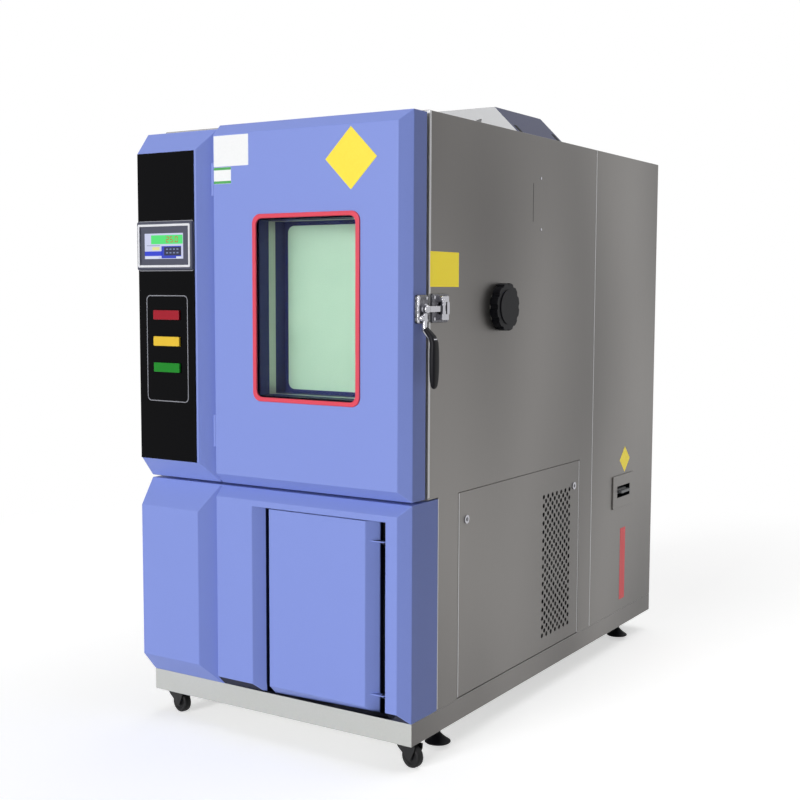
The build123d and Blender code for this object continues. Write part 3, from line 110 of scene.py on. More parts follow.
def new_finish(name, colour, roughness, metallic=0.0, **constants):
    """A Principled material with its constants on the shader, and the tree for its pattern."""
    material = bpy.data.materials.new(name)
    material.use_nodes = True
    tree = material.node_tree
    shader = tree.nodes["Principled BSDF"]
    shader.inputs["Base Color"].default_value = linear(colour)
    shader.inputs["Roughness"].default_value = roughness
    shader.inputs["Metallic"].default_value = metallic
    for socket, value in constants.items():
        shader.inputs[socket.replace("_", " ")].default_value = value
    return material, tree, shader


def add_pattern(
    tree, shader, size_mm, stretch=(1, 1, 1), bump_mm=0.0, shades=None, roughness=None, detail=3.0
):
    """A noise of a real grain size that drives the bump, the colour and the roughness."""
    place = add_node(tree, "TexCoord")
    stretched = add_node(tree, "Mapping", Vector=(place, "Object"), Scale=stretch)
    noise = add_node(
        tree,
        "TexNoise",
        Vector=(stretched, "Vector"),
        Scale=1 / (size_mm * MM),
        Detail=detail,
        Roughness=0.55,
    )
    if bump_mm:
        bump = add_node(tree, "Bump", Height=(noise, "Fac"), Distance=bump_mm * MM, Strength=1.0)
        tree.links.new(bump.outputs["Normal"], shader.inputs["Normal"])
    if shades:
        mix = add_node(
            tree,
            "Mix",
            {"data_type": "RGBA"},
            _0=(noise, "Fac"),
            _6=linear(shades[0]),
            _7=linear(shades[1]),
        )
        tree.links.new(mix.outputs[2], shader.inputs["Base Color"])
    if roughness:
        spread = add_node(
            tree, "MapRange", Value=(noise, "Fac"), To_Min=roughness[0], To_Max=roughness[1]
        )
        tree.links.new(spread.outputs["Result"], shader.inputs["Roughness"])
    return noise


def dress(material, *names):
    """Gives CAD nodes that show as they are their finish."""
    for name in names:
        node = nodes[name]
        node.data.materials.clear()
        node.data.materials.append(material)


def link_piece(mesh, name, material, body, replaced=(), sharp_deg=35):
    """Turns a bmesh into a piece with smooth faces and sharp edges that rides on a body."""
    mesh.normal_update()
    for face in mesh.faces:
        face.smooth = True
    for edge in mesh.edges:
        edge.smooth = edge.calc_face_angle(0) < math.radians(sharp_deg)
    data = bpy.data.meshes.new(name)
    mesh.to_mesh(data)
    mesh.free()
    data.materials.append(material)
    piece = bpy.data.objects.new(name, data)
    bpy.context.scene.collection.objects.link(piece)
    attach(piece, body)
    if replaced:
        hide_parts(*replaced)
    piece.modifiers.new("even_shading", "WEIGHTED_NORMAL").keep_sharp = True
    return piece


def broad_side(face):
    """A face's area over its longest edge, which is small on a sheet's cut rim."""
    return face.calc_area() / max(edge.calc_length() for edge in face.edges)


def folded_sheet(node, name, material, radius_mm, segments=3):
    """A CAD node's copy, its outer folds and corners rounded as a press brake leaves them."""
    mesh = bmesh.new()
    mesh.from_mesh(nodes[node].data)
    bmesh.ops.remove_doubles(mesh, verts=mesh.verts, dist=2e-5)
    bmesh.ops.dissolve_limit(mesh, angle_limit=0.02, verts=mesh.verts, edges=mesh.edges)
    folds = [
        edge
        for edge in mesh.edges
        if len(edge.link_faces) == 2
        and edge.is_convex
        and edge.calc_face_angle(0) > 0.35
        and edge.calc_length() > 8 * MM
        and min(broad_side(face) for face in edge.link_faces) > 2.2 * radius_mm * MM
    ]
    bmesh.ops.bevel(
        mesh,
        geom=folds,
        offset=radius_mm * MM,
        offset_type="OFFSET",
        segments=segments,
        profile=0.5,
        affect="EDGES",
        clamp_overlap=False,
        material=-1,
    )
    return link_piece(mesh, name, material, nodes[node]["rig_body"], [node], sharp_deg=40)


# Satin paint: an even, soft sheen with a faint spray texture.
base_paint, tree, shader = new_finish("satin_mild_steel", "#BBBCB8", 0.42, 0.12)
add_pattern(tree, shader, 3.0, bump_mm=0.03, shades=("#B5B7B3", "#C1C2BE"))
base = folded_sheet("base_frame", "base_frame_painted", base_paint, 2.0)
# Zinc plating: a dull grey metal gleam.
zinc_plate, tree, shader = new_finish("zinc_plated_steel", "#8E9092", 0.38, 0.9)
add_pattern(tree, shader, 2.0, bump_mm=0.01, roughness=(0.3, 0.45))
dress(zinc_plate, "caster_plates")

# Casters and feet: pressed forks, rubber tyres on nylon wheels, and moulded nylon pads on zinc
# stems. The wheels are parked ten degrees off straight, and each foot has a moulded boot.


def settle(mesh, known, place, index=0):
    """Closes a new part's seams, turns its faces outwards and moves it to its place."""
    verts = [vertex for vertex in mesh.verts if vertex not in known]
    bmesh.ops.remove_doubles(mesh, verts=verts, dist=1e-4)
    verts = [vertex for vertex in mesh.verts if vertex not in known]
    faces = [face for face in mesh.faces if face.verts[0] not in known]
    bmesh.ops.recalc_face_normals(mesh, faces=faces)
    bmesh.ops.transform(mesh, matrix=place @ Matrix.Diagonal((MM, MM, MM, 1)), verts=verts)
    for face in faces:
        face.material_index = index
    return faces


def turned(mesh, place, profile, steps=48, closed=False):
    """Spins a profile of radius and level in millimetres about the place's own axis."""
    known = set(mesh.verts)
    if not closed:
        profile = [(0, profile[0][1]), *profile, (0, profile[-1][1])]
    points = [mesh.verts.new((radius, 0, level)) for radius, level in profile]
    ends = points[1:] + points[:1] if closed else points[1:]
    edges = [mesh.edges.new(pair) for pair in zip(points, ends)]
    bmesh.ops.spin(
        mesh,
        geom=points + edges,
        axis=(0, 0, 1),
        angle=2 * math.pi,
        steps=steps,
        use_merge=True,
    )
    return settle(mesh, known, place)


def raise_faces(mesh, faces, height):
    """Extrudes flat faces into a plate and returns the faces of its top."""
    risen = bmesh.ops.extrude_face_region(mesh, geom=faces)["geom"]
    lifted = [item for item in risen if isinstance(item, bmesh.types.BMVert)]
    bmesh.ops.translate(mesh, vec=(0, 0, height), verts=lifted)
    return [item for item in risen if isinstance(item, bmesh.types.BMFace)]


def cut_sheet(mesh, place, corners, levels):
    """A piece of sheet with straight edges, from the first level to the second in millimetres."""
    known = set(mesh.verts)
    face = mesh.faces.new([mesh.verts.new((x, y, levels[0])) for x, y in corners])
    raise_faces(mesh, [face], levels[1] - levels[0])
    return settle(mesh, known, place)


# Moulded rubber: near black, with hardly a highlight.
tyre_rubber, tree, shader = new_finish("black_rubber", "#101012", 0.6, Specular_IOR_Level=0.25)
add_pattern(tree, shader, 1.5, bump_mm=0.04, roughness=(0.5, 0.7))
# Black paint on pressed steel: a broad, low highlight.
black_steel, tree, shader = new_finish(
    "black_painted_steel", "#121214", 0.4, Specular_IOR_Level=0.3
)
add_pattern(tree, shader, 2.0, bump_mm=0.02, roughness=(0.33, 0.47))
# Moulded nylon: black, with a grain that scatters the little it reflects.
black_nylon, tree, shader = new_finish(
    "moulded_black_nylon", "#0A0A10", 0.4, Specular_IOR_Level=0.14
)
add_pattern(tree, shader, 0.9, bump_mm=0.02, roughness=(0.4, 0.55))
half_wheel = (
    (4.2, -11.6), (7.5, -11.6), (9.0, -10.6), (10.0, -8.5), (19.0, -8.5), (21.0, -11.0),
    (24.0, -12.0), (27.5, -11.4), (29.8, -9.4), (30.8, -6.0),
)
whole_wheel = [*half_wheel, (31.0, 0.0), *[(radius, -level) for radius, level in half_wheel[::-1]]]
cheek = ((-46, 66), (21, 66), (20, 52), (11, 34), (7, 24), (-7, 24), (-16, 36), (-38, 52))
cheek_mm = 1.8
boot = ((35, 12.2), (36.5, 13.5), (36, 16), (31, 19.5), (23, 25), (15, 32), (10.5, 37), (8, 39))
parked = Matrix.Rotation(math.radians(-10), 4, "Z")
for corner in ("front_left", "front_right", "rear_left", "rear_right"):
    fork, wheel = "caster_fork_" + corner, "caster_wheel_" + corner
    foot = "levelling_foot_" + corner
    folded_sheet(fork, "caster_fork_pressed_" + corner, black_steel, 1.0)
    middle = sum(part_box(wheel), Vector()) / 2
    along = parked @ Matrix.Rotation(math.pi / 2, 4, "X")
    from_axle = [(x, z - middle.z / MM) for x, z in cheek]
    mesh = bmesh.new()
    for inner in (-17.6, 15.8):
        cut_sheet(mesh, Matrix.Translation(middle) @ along, from_axle, (inner, inner + cheek_mm))
    link_piece(mesh, "caster_cheeks_" + corner, black_steel, nodes[fork]["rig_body"])
    axle = (parked @ Vector((0, 1, 0))).to_track_quat("Z", "Y").to_matrix().to_4x4()
    mesh = bmesh.new()
    turned(mesh, Matrix.Translation(middle) @ axle, whole_wheel, 64, closed=True)
    body = nodes[wheel]["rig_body"]
    link_piece(mesh, "caster_tyre_" + corner, tyre_rubber, body, [wheel])
    dress(black_nylon, foot)
    middle = sum(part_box(foot), Vector()) / 2
    mesh = bmesh.new()
    turned(mesh, Matrix.Translation((middle.x, middle.y, 0)), boot)
    link_piece(mesh, "foot_boot_" + corner, black_nylon, nodes[foot]["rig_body"])

# Side, roof and rear sheets: satin stainless steel, folded on a press brake and brushed upright.
# Its colour carries broad, cloudy patches of light and dark, a painted reflection of the room. The
# brush marks are finer than a millimetre, and they are drawn a little coarser to show.
side_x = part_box("upper_shell")[1].x / MM
side_steel, tree, shader = new_finish("brushed_stainless_steel", "#7F7E79", 0.36, 0.8)
add_pattern(tree, shader, 1.6, (1, 1, 0.02), bump_mm=0.006, roughness=(0.33, 0.42))
# Painted reflection: broad, cloudy patches of light and dark in the colour.
add_pattern(tree, shader, 520.0, (1, 1, 0.5), shades=("#434140", "#95928F"), detail=0.3)
folded_sheet("upper_shell", "upper_shell_folded", side_steel, 2.0)
folded_sheet("rear_shell", "rear_shell_folded", side_steel, 2.0)
folded_sheet("lower_side_right", "lower_side_right_folded", side_steel, 1.0)
folded_sheet("access_panel", "access_panel_folded", side_steel, 2.0)
dress(side_steel, "lower_side_left", "rear_vent_panel")
# Painted shade: the base frame's right side takes the darker side steel in place of its light grey
# paint.
base.data.materials.append(side_steel)
for polygon in base.data.polygons:
    shaded_right_side = abs(polygon.normal.x) > 0.9
    polygon.material_index = int(shaded_right_side and polygon.center.x > (side_x - 1) * MM)

# Panel locks: quarter-turn locks of chromed zinc in the access panel, each with a black plug that
# takes a screwdriver.


def on_side(y, z, x=side_x, lean=0.0):
    """A place on the right side: across is +Y and up is +Z, or leaning inwards by an angle."""
    turn = Matrix(((0, 0, 1), (1, 0, 0), (0, 1, 0))).to_4x4()
    return Matrix.Translation(Vector((x, y, z)) * MM) @ Matrix.Rotation(-lean, 4, "Y") @ turn


def round_edges(mesh, geom, radius, affect, segments):
    """Rounds corners or edges to a radius in millimetres."""
    bmesh.ops.bevel(
        mesh,
        geom=geom,
        offset=radius,
        offset_type="OFFSET",
        segments=segments,
        profile=0.5,
        affect=affect,
        clamp_overlap=False,
        material=-1,
    )


def round_rim(mesh, top, radius, segments):
    """Rounds the edges round the top of a plate."""
    around = set(top)
    rim = {edge for face in top for edge in face.edges if not around.issuperset(edge.link_faces)}
    round_edges(mesh, list(rim), radius, "EDGES", segments)


def rounded_face(mesh, size, corner, level):
    """A flat rounded rectangle about the origin, in millimetres."""
    known = set(mesh.faces)
    corners = bmesh.ops.create_grid(mesh, x_segments=1, y_segments=1, size=0.5)["verts"]
    bmesh.ops.scale(mesh, vec=(*size, 1), verts=corners)
    bmesh.ops.translate(mesh, vec=(0, 0, level), verts=corners)
    round_edges(mesh, corners, corner, "VERTICES", 6)
    return next(face for face in mesh.faces if face not in known)


def slab(mesh, place, size, corner, levels, rim=0.3, index=0):
    """A plate with a rounded rim, standing from the first level to the second in millimetres."""
    known = set(mesh.verts)
    face = rounded_face(mesh, size, corner, levels[0])
    round_rim(mesh, raise_faces(mesh, [face], levels[1] - levels[0]), rim, 2)
    return settle(mesh, known, place, index)


# Polished chrome: sharp reflections, broken up by the wavy casting under it.
bright_steel, tree, shader = new_finish("polished_chrome", "#B4B4BA", 0.16, 1.0)
add_pattern(tree, shader, 9.0, bump_mm=0.25, roughness=(0.08, 0.3))
dress(bright_steel, "panel_lock_front", "panel_lock_rear")
lock_z, lock_face_x = 633.5, 431.3
for lock, y in (("panel_lock_front", -539.25), ("panel_lock_rear", 174.75)):
    mesh = bmesh.new()
    turned(mesh, on_side(y, lock_z, lock_face_x), [(5.5, 0), (5.5, 0.3), (5.0, 0.4)])
    slab(mesh, on_side(y, lock_z, lock_face_x + 0.4), (1.8, 8.5), 0.5, (0, 0.4), 0.1, 1)
    key = link_piece(mesh, lock + "_key", black_nylon, lock)
    key.data.materials.append(bright_steel)

# Roof hood: a folded sheet cover over the fan motor, screwed to the roof and powder-coated pale
# grey.
# Its faces that turn to the right are a dark slate blue, which is painted shade. Its two slots are
# black rubber slabs, painted shade for their openings, and a tab stands beside. Both finishes have
# a matt skin with a faint orange peel.
hood_side_shade, tree, shader = new_finish(
    "slate_hood_side_shade", "#363C62", 0.45, Specular_IOR_Level=0.2
)
add_pattern(tree, shader, 2.2, bump_mm=0.03, shades=("#33395E", "#3A4067"))
hood_front, tree, shader = new_finish("grey_powder_coat", "#BDBEC0", 0.4)
add_pattern(tree, shader, 2.2, bump_mm=0.03, shades=("#B9BABC", "#C2C3C5"))
hood = folded_sheet("roof_hood", "roof_hood_folded", hood_side_shade, 1.5)
hood.data.materials.append(hood_front)
# Painted shade: faces that turn to the right take the dark slate, the rest the pale grey.
for polygon in hood.data.polygons:
    polygon.material_index = int(polygon.normal.x < 0.4)
# Moulded rubber: black and matt.
seal_rubber, tree, shader = new_finish(
    "black_seal_rubber", "#131315", 0.65, Specular_IOR_Level=0.15
)
add_pattern(tree, shader, 1.2, bump_mm=0.03, roughness=(0.58, 0.75))
# Painted shade: solid black rubber slabs stand for the dark openings of the hood's two slots.
mesh = bmesh.new()
for y in (-77.25, 186.7):
    slope = on_side(y, 1749, 348.1, lean=math.radians(45))
    slab(mesh, slope, (19, 56), 3.0, (-1.0, 0.5), 0.2)
link_piece(mesh, "hood_slots_painted_shade", seal_rubber, nodes["roof_hood"]["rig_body"])
tab = ((-28, 0), (26, 0), (26, 19), (23, 19), (-28, 3))
mesh = bmesh.new()
cut_sheet(mesh, on_side(-436, 1726, 392), tab, (0, 2))
link_piece(mesh, "roof_tab", hood_front, "cabinet")

# Control column, lower front and doors: sheet steel with a violet-blue polyester powder coat,
# which cures to a satin skin with a faint orange peel.
blue_coat, tree, shader = new_finish(
    "violet_blue_powder_coat", "#7F90D6", 0.45, Specular_IOR_Level=0.28
)
add_pattern(tree, shader, 2.4, bump_mm=0.035, shades=("#7C8DD3", "#8394DA"))
folded_sheet("control_column", "control_column_folded", blue_coat, 2.0)
fascia = folded_sheet("lower_fascia", "lower_fascia_folded", blue_coat, 2.0)
lower_door = folded_sheet("lower_door", "lower_door_folded", blue_coat, 2.0)
folded_sheet("door_skin", "door_skin_folded", blue_coat, 2.0)

# Painted shade: the lower front's faces inside its pocket, and the lower door's lugs, which hang on
# hidden pins, take a matt navy that is nearly black, standing in for the shade in the pocket.
pocket_painted_shade, tree, shader = new_finish("navy_painted_shade", "#171B33", 0.6, Specular_IOR_Level=0.2)
add_pattern(tree, shader, 2.0, bump_mm=0.03, shades=("#151930", "#1A1F38"))
door_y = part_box("door_skin")[0].y / MM
pocket_left, pocket_right, pocket_foot, pocket_head = -52, 364, 133, 667
lug_left, lug_behind = 329, 20
for piece in (fascia, lower_door):
    piece.data.materials.append(pocket_painted_shade)
    for polygon in piece.data.polygons:
        x, y, z = polygon.center / MM
        across = pocket_left < x < pocket_right and pocket_foot < z < pocket_head
        in_pocket = across and y > door_y + 2
        on_lug = x > lug_left and y > door_y + lug_behind
        polygon.material_index = int(in_pocket if piece is fascia else on_lug)

# Bright edges: the cabinet's front edge and side seams, where the stainless sheets are folded back,
# show as bright lines. These are painted highlights: thin strips of a brighter steel stand in for
# the light the folds catch.


def on_front(x, y, z):
    """A place on a face that looks to the front: across is +X and up is +Z."""
    turn = Matrix(((1, 0, 0), (0, 0, -1), (0, 1, 0))).to_4x4()
    return Matrix.Translation(Vector((x, y, z)) * MM) @ turn


edge_highlight_steel, tree, shader = new_finish("painted_edge_highlight", "#C6C6C8", 0.3, 0.5)
add_pattern(tree, shader, 1.2, (1, 1, 0.03), bump_mm=0.004, roughness=(0.25, 0.36))
seam_levels = (0, 0.35)
mesh = bmesh.new()
slab(mesh, on_front(422.6, -748.25, 1222.5), (10.4, 1004), 0.6, (0, 0.6), 0.2)
slab(mesh, on_side(-743.4, 1222.5), (9.0, 1004), 0.6, seam_levels, 0.15)
slab(mesh, on_side(319.2, 929), (4.0, 1590), 0.6, seam_levels, 0.15)
slab(mesh, on_side(-692.2, 424), (3.6, 576), 0.6, seam_levels, 0.15)
link_piece(mesh, "cabinet_painted_highlights", edge_highlight_steel, "cabinet")
mesh = bmesh.new()
for y in (-579.8, 215.2):
    slab(mesh, on_side(y, 424.2), (3.6, 574), 0.6, seam_levels, 0.15)
link_piece(mesh, "access_panel_painted_highlights", edge_highlight_steel, "access_panel")

# Door insides: a core and a test space of satin stainless steel, brushed from front to back for a
# soft, bright gleam, a black rubber seal, and hinges painted as the door is.
liner_steel, tree, shader = new_finish("satin_stainless_steel", "#B4B4B0", 0.3, 0.9)
add_pattern(tree, shader, 1.4, (1, 0.03, 1), bump_mm=0.005, roughness=(0.25, 0.38))
dress(liner_steel, "door_core", "front_frame", "chamber_liner", "air_baffle", "shelf")
dress(liner_steel, "port_sleeve")
dress(seal_rubber, "door_seal")
dress(blue_coat, "hinge_column_leaves", "hinge_door_leaves")

# Window: a red rubber gasket holds the outer glass, and a navy frame with a steel spacer band
# leads back to the inner glass, whose film of haze looks pale green.


def ring(mesh, place, size, corner, band, levels, rim=0.3, hole_corner=None):
    """A flat frame with rounded rims round a rounded opening, in millimetres."""
    known = set(mesh.verts)
    hole = (size[0] - 2 * band, size[1] - 2 * band)
    outside = rounded_face(mesh, size, corner, levels[0])
    inside = rounded_face(mesh, hole, hole_corner or max(corner - band, 0.2), levels[0])
    edges = [*outside.edges, *inside.edges]
    bmesh.ops.delete(mesh, geom=[outside, inside], context="FACES_ONLY")
    strip = bmesh.ops.bridge_loops(mesh, edges=edges)["faces"]
    round_rim(mesh, raise_faces(mesh, strip, levels[1] - levels[0]), rim, 1)
    return settle(mesh, known, place)


# Silicone rubber: a strong red with a soft, waxy highlight.
gasket_rubber, tree, shader = new_finish(
    "red_silicone_rubber", "#DB4257", 0.4, Specular_IOR_Level=0.35
)
add_pattern(tree, shader, 1.5, bump_mm=0.02, shades=("#D53D52", "#E0485D"))
folded_sheet("window_gasket", "window_gasket_bead", gasket_rubber, 1.8, 4)
# Navy paint, matt, and made dark as painted shade, so that the walls round the glass fall back.
navy_tunnel_shade, tree, shader = new_finish(
    "navy_steel_painted_shade", "#1C2560", 0.5, Specular_IOR_Level=0.15
)
add_pattern(tree, shader, 2.0, bump_mm=0.004, shades=("#19225A", "#202966"))
# Brushed steel: a pale band with a soft gleam.
spacer_steel, tree, shader = new_finish("brushed_spacer_steel", "#B4B8AF", 0.3, 0.6)
add_pattern(tree, shader, 1.2, (1, 1, 0.03), bump_mm=0.005, roughness=(0.25, 0.36))
dress(navy_tunnel_shade, "window_frame")
tunnel = nodes["window_frame"].data
tunnel.materials.append(spacer_steel)
band_front, band_back = 47, 76.5
for polygon in tunnel.polygons:
    depth = polygon.center.y / MM - door_y
    polygon.material_index = int(band_front <= depth <= band_back)
# Float glass: clear, with faint reflections. Its IOR is under glass's own, because two full panes
# would veil the dark walls behind.
clear_glass, tree, shader = new_finish(
    "clear_float_glass", "#FAFDFB", 0.0, Transmission_Weight=1.0, IOR=1.18
)
add_pattern(tree, shader, 60.0, bump_mm=0.01)
# A film of haze on glass: pale green and cloudy, with a painted glow that stands in for light from
# within.
hazy_glass_painted_glow, tree, shader = new_finish(
    "hazy_green_glass_painted_glow", "#A2BFA8", 0.35, Emission_Color=linear("#A2BFA8"), Emission_Strength=0.2
)
add_pattern(tree, shader, 110.0, shades=("#98B8A2", "#AAC6B0"), roughness=(0.3, 0.45))
pane_low, pane_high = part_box("window_panes")
between = (pane_low.y + pane_high.y) / 2
for name, front, glass in (("outer_pane", True, clear_glass), ("inner_pane", False, hazy_glass_painted_glow)):
    mesh = bmesh.new()
    mesh.from_mesh(nodes["window_panes"].data)
    bmesh.ops.remove_doubles(mesh, verts=mesh.verts, dist=2e-5)
    other = [vertex for vertex in mesh.verts if (vertex.co.y < between) != front]
    bmesh.ops.delete(mesh, geom=other, context="VERTS")
    link_piece(mesh, name, glass, "main_door", ["window_panes"])
window_x, window_z = 107.6, 1215.5
# The navy ring round the inner glass carries the same painted shade.
inner_frame = on_front(window_x, -730.2, window_z)
mesh = bmesh.new()
ring(mesh, inner_frame, (327, 485), 3.0, 15.0, (-0.2, 2.0), 0.6, hole_corner=20.0)
link_piece(mesh, "inner_pane_frame", navy_tunnel_shade, "main_door")
# Painted highlight: a thin bright rim at the front of the spacer band.
spacer = on_front(window_x, door_y + 48.5, window_z)
mesh = bmesh.new()
ring(mesh, spacer, (327.4, 485.4), 3.0, 1.6, (-3.5, 0), 0.4)
link_piece(mesh, "spacer_painted_highlight", edge_highlight_steel, "main_door")

# Labels on the door: thin printed vinyl, left blank, with flat and even colours. The small one has
# a green bar at its head and foot, and the large one is a yellow square that stands on its corner.
vinyl = {}
# The last two colours glow a little: a painted glow that brightens the labels on the shaded side.
for colour, code, shades, glow in (
    ("white", "#ECEDEE", ("#E9EAEB", "#F1F2F2"), 0.0),
    ("green", "#3FA04A", ("#3A9A45", "#45A650"), 0.0),
    ("yellow", "#F2DC2E", ("#EFD826", "#F5E03A"), 0.0),
    ("fluorescent_yellow", "#F7DF12", ("#F4DA0C", "#FAE41C"), 0.3),
    ("fluorescent_red", "#D0202C", ("#CA1C28", "#D62631"), 0.25),
):
    glows = {"Emission_Color": linear(code), "Emission_Strength": glow} if glow else {}
    vinyl[colour], tree, shader = new_finish(colour + "_vinyl", code, 0.4, **glows)
    add_pattern(tree, shader, 5.0, bump_mm=0.01, shades=shades)
on_corner = Matrix.Rotation(math.radians(45), 4, "Z")
mesh = bmesh.new()
slab(mesh, on_front(-144, door_y, 1645), (122, 84), 1.5, (0, 0.4), 0.15)
link_piece(mesh, "door_label_white", vinyl["white"], "main_door")
mesh = bmesh.new()
slab(mesh, on_front(-174.5, door_y, 1578.5), (61, 45), 1.0, (0, 0.3), 0.1)
for z in (1597, 1560):
    slab(mesh, on_front(-174.5, door_y, z), (61, 7), 0.8, (0.3, 0.4), 0.05, 1)
small_label = link_piece(mesh, "door_label_green_bars", vinyl["white"], "main_door")
small_label.data.materials.append(vinyl["green"])
mesh = bmesh.new()
slab(mesh, on_front(255, door_y, 1604.5) @ on_corner, (114, 114), 1.5, (0, 0.4), 0.15)
link_piece(mesh, "door_label_yellow", vinyl["yellow"], "main_door")

# Controls: a black acrylic plate in the column, with printed outlines round the touch screen's
# bezel and round three coloured push buttons. The acrylic is deep black with a clear sheen.
plate_acrylic, tree, shader = new_finish(
    "black_acrylic", "#040406", 0.14, Specular_IOR_Level=0.06
)
add_pattern(tree, shader, 40.0, roughness=(0.1, 0.18))
folded_sheet("control_plate", "control_plate_polished", plate_acrylic, 0.6)
# Moulded ABS: slate grey and matt.
bezel_plastic, tree, shader = new_finish("slate_grey_abs", "#33364A", 0.45)
add_pattern(tree, shader, 0.8, bump_mm=0.015, roughness=(0.4, 0.5))
dress(bezel_plastic, "controller_bezel", "controller_display")
# Silver paint on plastic: pale, with a weak metal gleam.
silver, tree, shader = new_finish("silver_trim", "#DCDDE2", 0.3, 0.25)
add_pattern(tree, shader, 1.0, bump_mm=0.01, roughness=(0.25, 0.35))
# Screen-printed ink: a thin, flat grey line.
screen_print, tree, shader = new_finish("printed_grey_line", "#85868E", 0.4)
add_pattern(tree, shader, 1.0, bump_mm=0.005, shades=("#808189", "#8B8C94"))
plate_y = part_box("control_plate")[0].y / MM
bezel_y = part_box("controller_bezel")[0].y / MM
mesh = bmesh.new()
ring(mesh, on_front(-371.9, bezel_y, 1389), (198, 122), 4.0, 6.5, (-1, 1.2), 0.8)
link_piece(mesh, "controller_silver_frame", silver, "cabinet")
mesh = bmesh.new()
ring(mesh, on_front(-368.4, plate_y, 1097), (157, 304), 14.0, 2.6, (-0.1, 0.25), 0.1)
ring(mesh, on_front(-369.9, plate_y, 1388.5), (211.4, 142), 8.0, 2.4, (-0.1, 0.25), 0.1)
link_piece(mesh, "plate_outlines", screen_print, "cabinet")

# Touch screen: its picture is a page of plain colour fields with a generic reading. Each field
# carries its colour in an attribute, which lights it as the backlight does.
screen_glow, tree, shader = new_finish("lit_screen", "#101010", 0.15, Emission_Strength=0.85)
tint = add_node(tree, "Attribute", {"attribute_name": "tint"})
tree.links.new(tint.outputs["Color"], shader.inputs["Emission Color"])
add_pattern(tree, shader, 30.0, roughness=(0.1, 0.2))
mesh = bmesh.new()
tint_layer = mesh.loops.layers.float_color.new("tint")
screen_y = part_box("controller_display")[0].y / MM
screen_low, screen_size = (-445.9, 1352.0), (146.0, 72.0)


def screen_field(left, top, right, bottom, colour, level):
    """One colour field, from fractions of the screen's width and height."""
    x = screen_low[0] + (left + right) / 2 * screen_size[0]
    z = screen_low[1] + (1 - (top + bottom) / 2) * screen_size[1]
    size = ((right - left) * screen_size[0], (bottom - top) * screen_size[1])
    for face in slab(mesh, on_front(x, screen_y, z), size, 0.3, (0, 0.1 + 0.04 * level), 0.02):
        for corner in face.loops:
            corner[tint_layer] = linear(colour)


screen_field(0.0, 0.0, 1.0, 1.0, "#D5DAFA", 0)
screen_field(0.17, 0.07, 0.99, 0.42, "#4FF07A", 1)
screen_field(0.05, 0.46, 0.4, 0.49, "#9DA3C4", 1)
screen_field(0.2, 0.53, 0.39, 0.66, "#F0EDA2", 1)
screen_field(0.44, 0.5, 0.95, 0.98, "#1E39C6", 1)
screen_field(0.0, 0.7, 0.46, 0.88, "#1535DA", 1)
screen_field(0.51, 0.54, 0.95, 0.87, "#0A1244", 2)
for column in range(4):
    for row in range(2):
        left, top = 0.56 + 0.09 * column, 0.6 + 0.14 * row
        screen_field(left, top, left + 0.05, top + 0.05, "#7C8CB8", 3)
screen_field(0.02, 0.91, 0.36, 0.99, "#E6EDFF", 1)
screen_field(0.82, 0.91, 0.95, 0.98, "#E6EDFF", 2)
digit_top, digit_size = 0.13, (0.075, 0.23)
segments = {
    "a": (0.1, 0.0, 0.9, 0.14),
    "b": (0.82, 0.05, 1.0, 0.47),
    "c": (0.82, 0.53, 1.0, 0.95),
    "d": (0.1, 0.86, 0.9, 1.0),
    "e": (0.0, 0.53, 0.18, 0.95),
    "f": (0.0, 0.05, 0.18, 0.47),
    "g": (0.1, 0.43, 0.9, 0.57),
}
for left, lit in ((0.56, "abged"), (0.66, "afgcd"), (0.79, "abcdef")):
    for name in lit:
        x0, y0, x1, y1 = segments[name]
        across = [left + digit_size[0] * x for x in (x0, x1)]
        down = [digit_top + digit_size[1] * y for y in (y0, y1)]
        screen_field(across[0], down[0], across[1], down[1], "#C4541E", 2)
screen_field(0.755, 0.33, 0.77, 0.36, "#C4541E", 2)
link_piece(mesh, "screen_picture", screen_glow, "cabinet")

# Push buttons: domed lenses of polycarbonate, moulded in their colour, which is deep and clear
# with a small bright highlight. Each slides in a cut-out of the plate.
for colour, code in (("red", "#9C0A22"), ("yellow", "#E2BC34"), ("green", "#06801A")):
    button = "push_button_" + colour
    lens_plastic, tree, shader = new_finish(
        colour + "_polycarbonate", code, 0.3, Specular_IOR_Level=0.25
    )
    add_pattern(tree, shader, 6.0, roughness=(0.2, 0.3))
    folded_sheet(button, "button_lens_" + colour, lens_plastic, 1.2)

# Latch: zinc castings on the door's side with a chromed lever and a moulded black grip, and the
# keeper with its roller on the cabinet, all screwed on. The zinc's colour is a blotchy mix of near
# black and bright grey, a painted reflection of a dark room.
zinc_painted_reflections, tree, shader = new_finish("zinc_casting_painted_reflections", "#6A6A70", 0.32, 1.0)
add_pattern(tree, shader, 7.0, bump_mm=0.3, shades=("#0C0C0E", "#85858C"), roughness=(0.15, 0.45))
folded_sheet("latch_base", "latch_base_cast", zinc_painted_reflections, 1.5)
folded_sheet("latch_lever", "latch_lever_cast", bright_steel, 1.5)
folded_sheet("latch_keeper", "latch_keeper_cast", zinc_painted_reflections, 1.2)
latch_y, latch_z, latch_x = -790.25, 1217.5, 436.1
screw_head = [(4.2, 0), (4.2, 1.2), (3.6, 2.0), (2.0, 2.5), (0.6, 2.6)]
large_dome = [(11, 0), (11, 2.5), (9, 5.5), (5, 7.4), (0.8, 8)]
small_dome = [(8, -0.5), (8, 5), (6.6, 8.8), (3.6, 11), (0.8, 11.8)]
mesh = bmesh.new()
for dy in (-19, 19):
    for dz in (-28, 28):
        turned(mesh, on_side(latch_y + dy, latch_z + dz, latch_x), screw_head)
turned(mesh, on_side(latch_y, latch_z, 448.6), large_dome)
slab(mesh, on_side(-812, latch_z, latch_x), (9, 70), 2.0, (-0.5, 1.8), 0.8)
turned(mesh, on_side(-802, 1194, latch_x), small_dome)
link_piece(mesh, "latch_screws", bright_steel, "main_door")

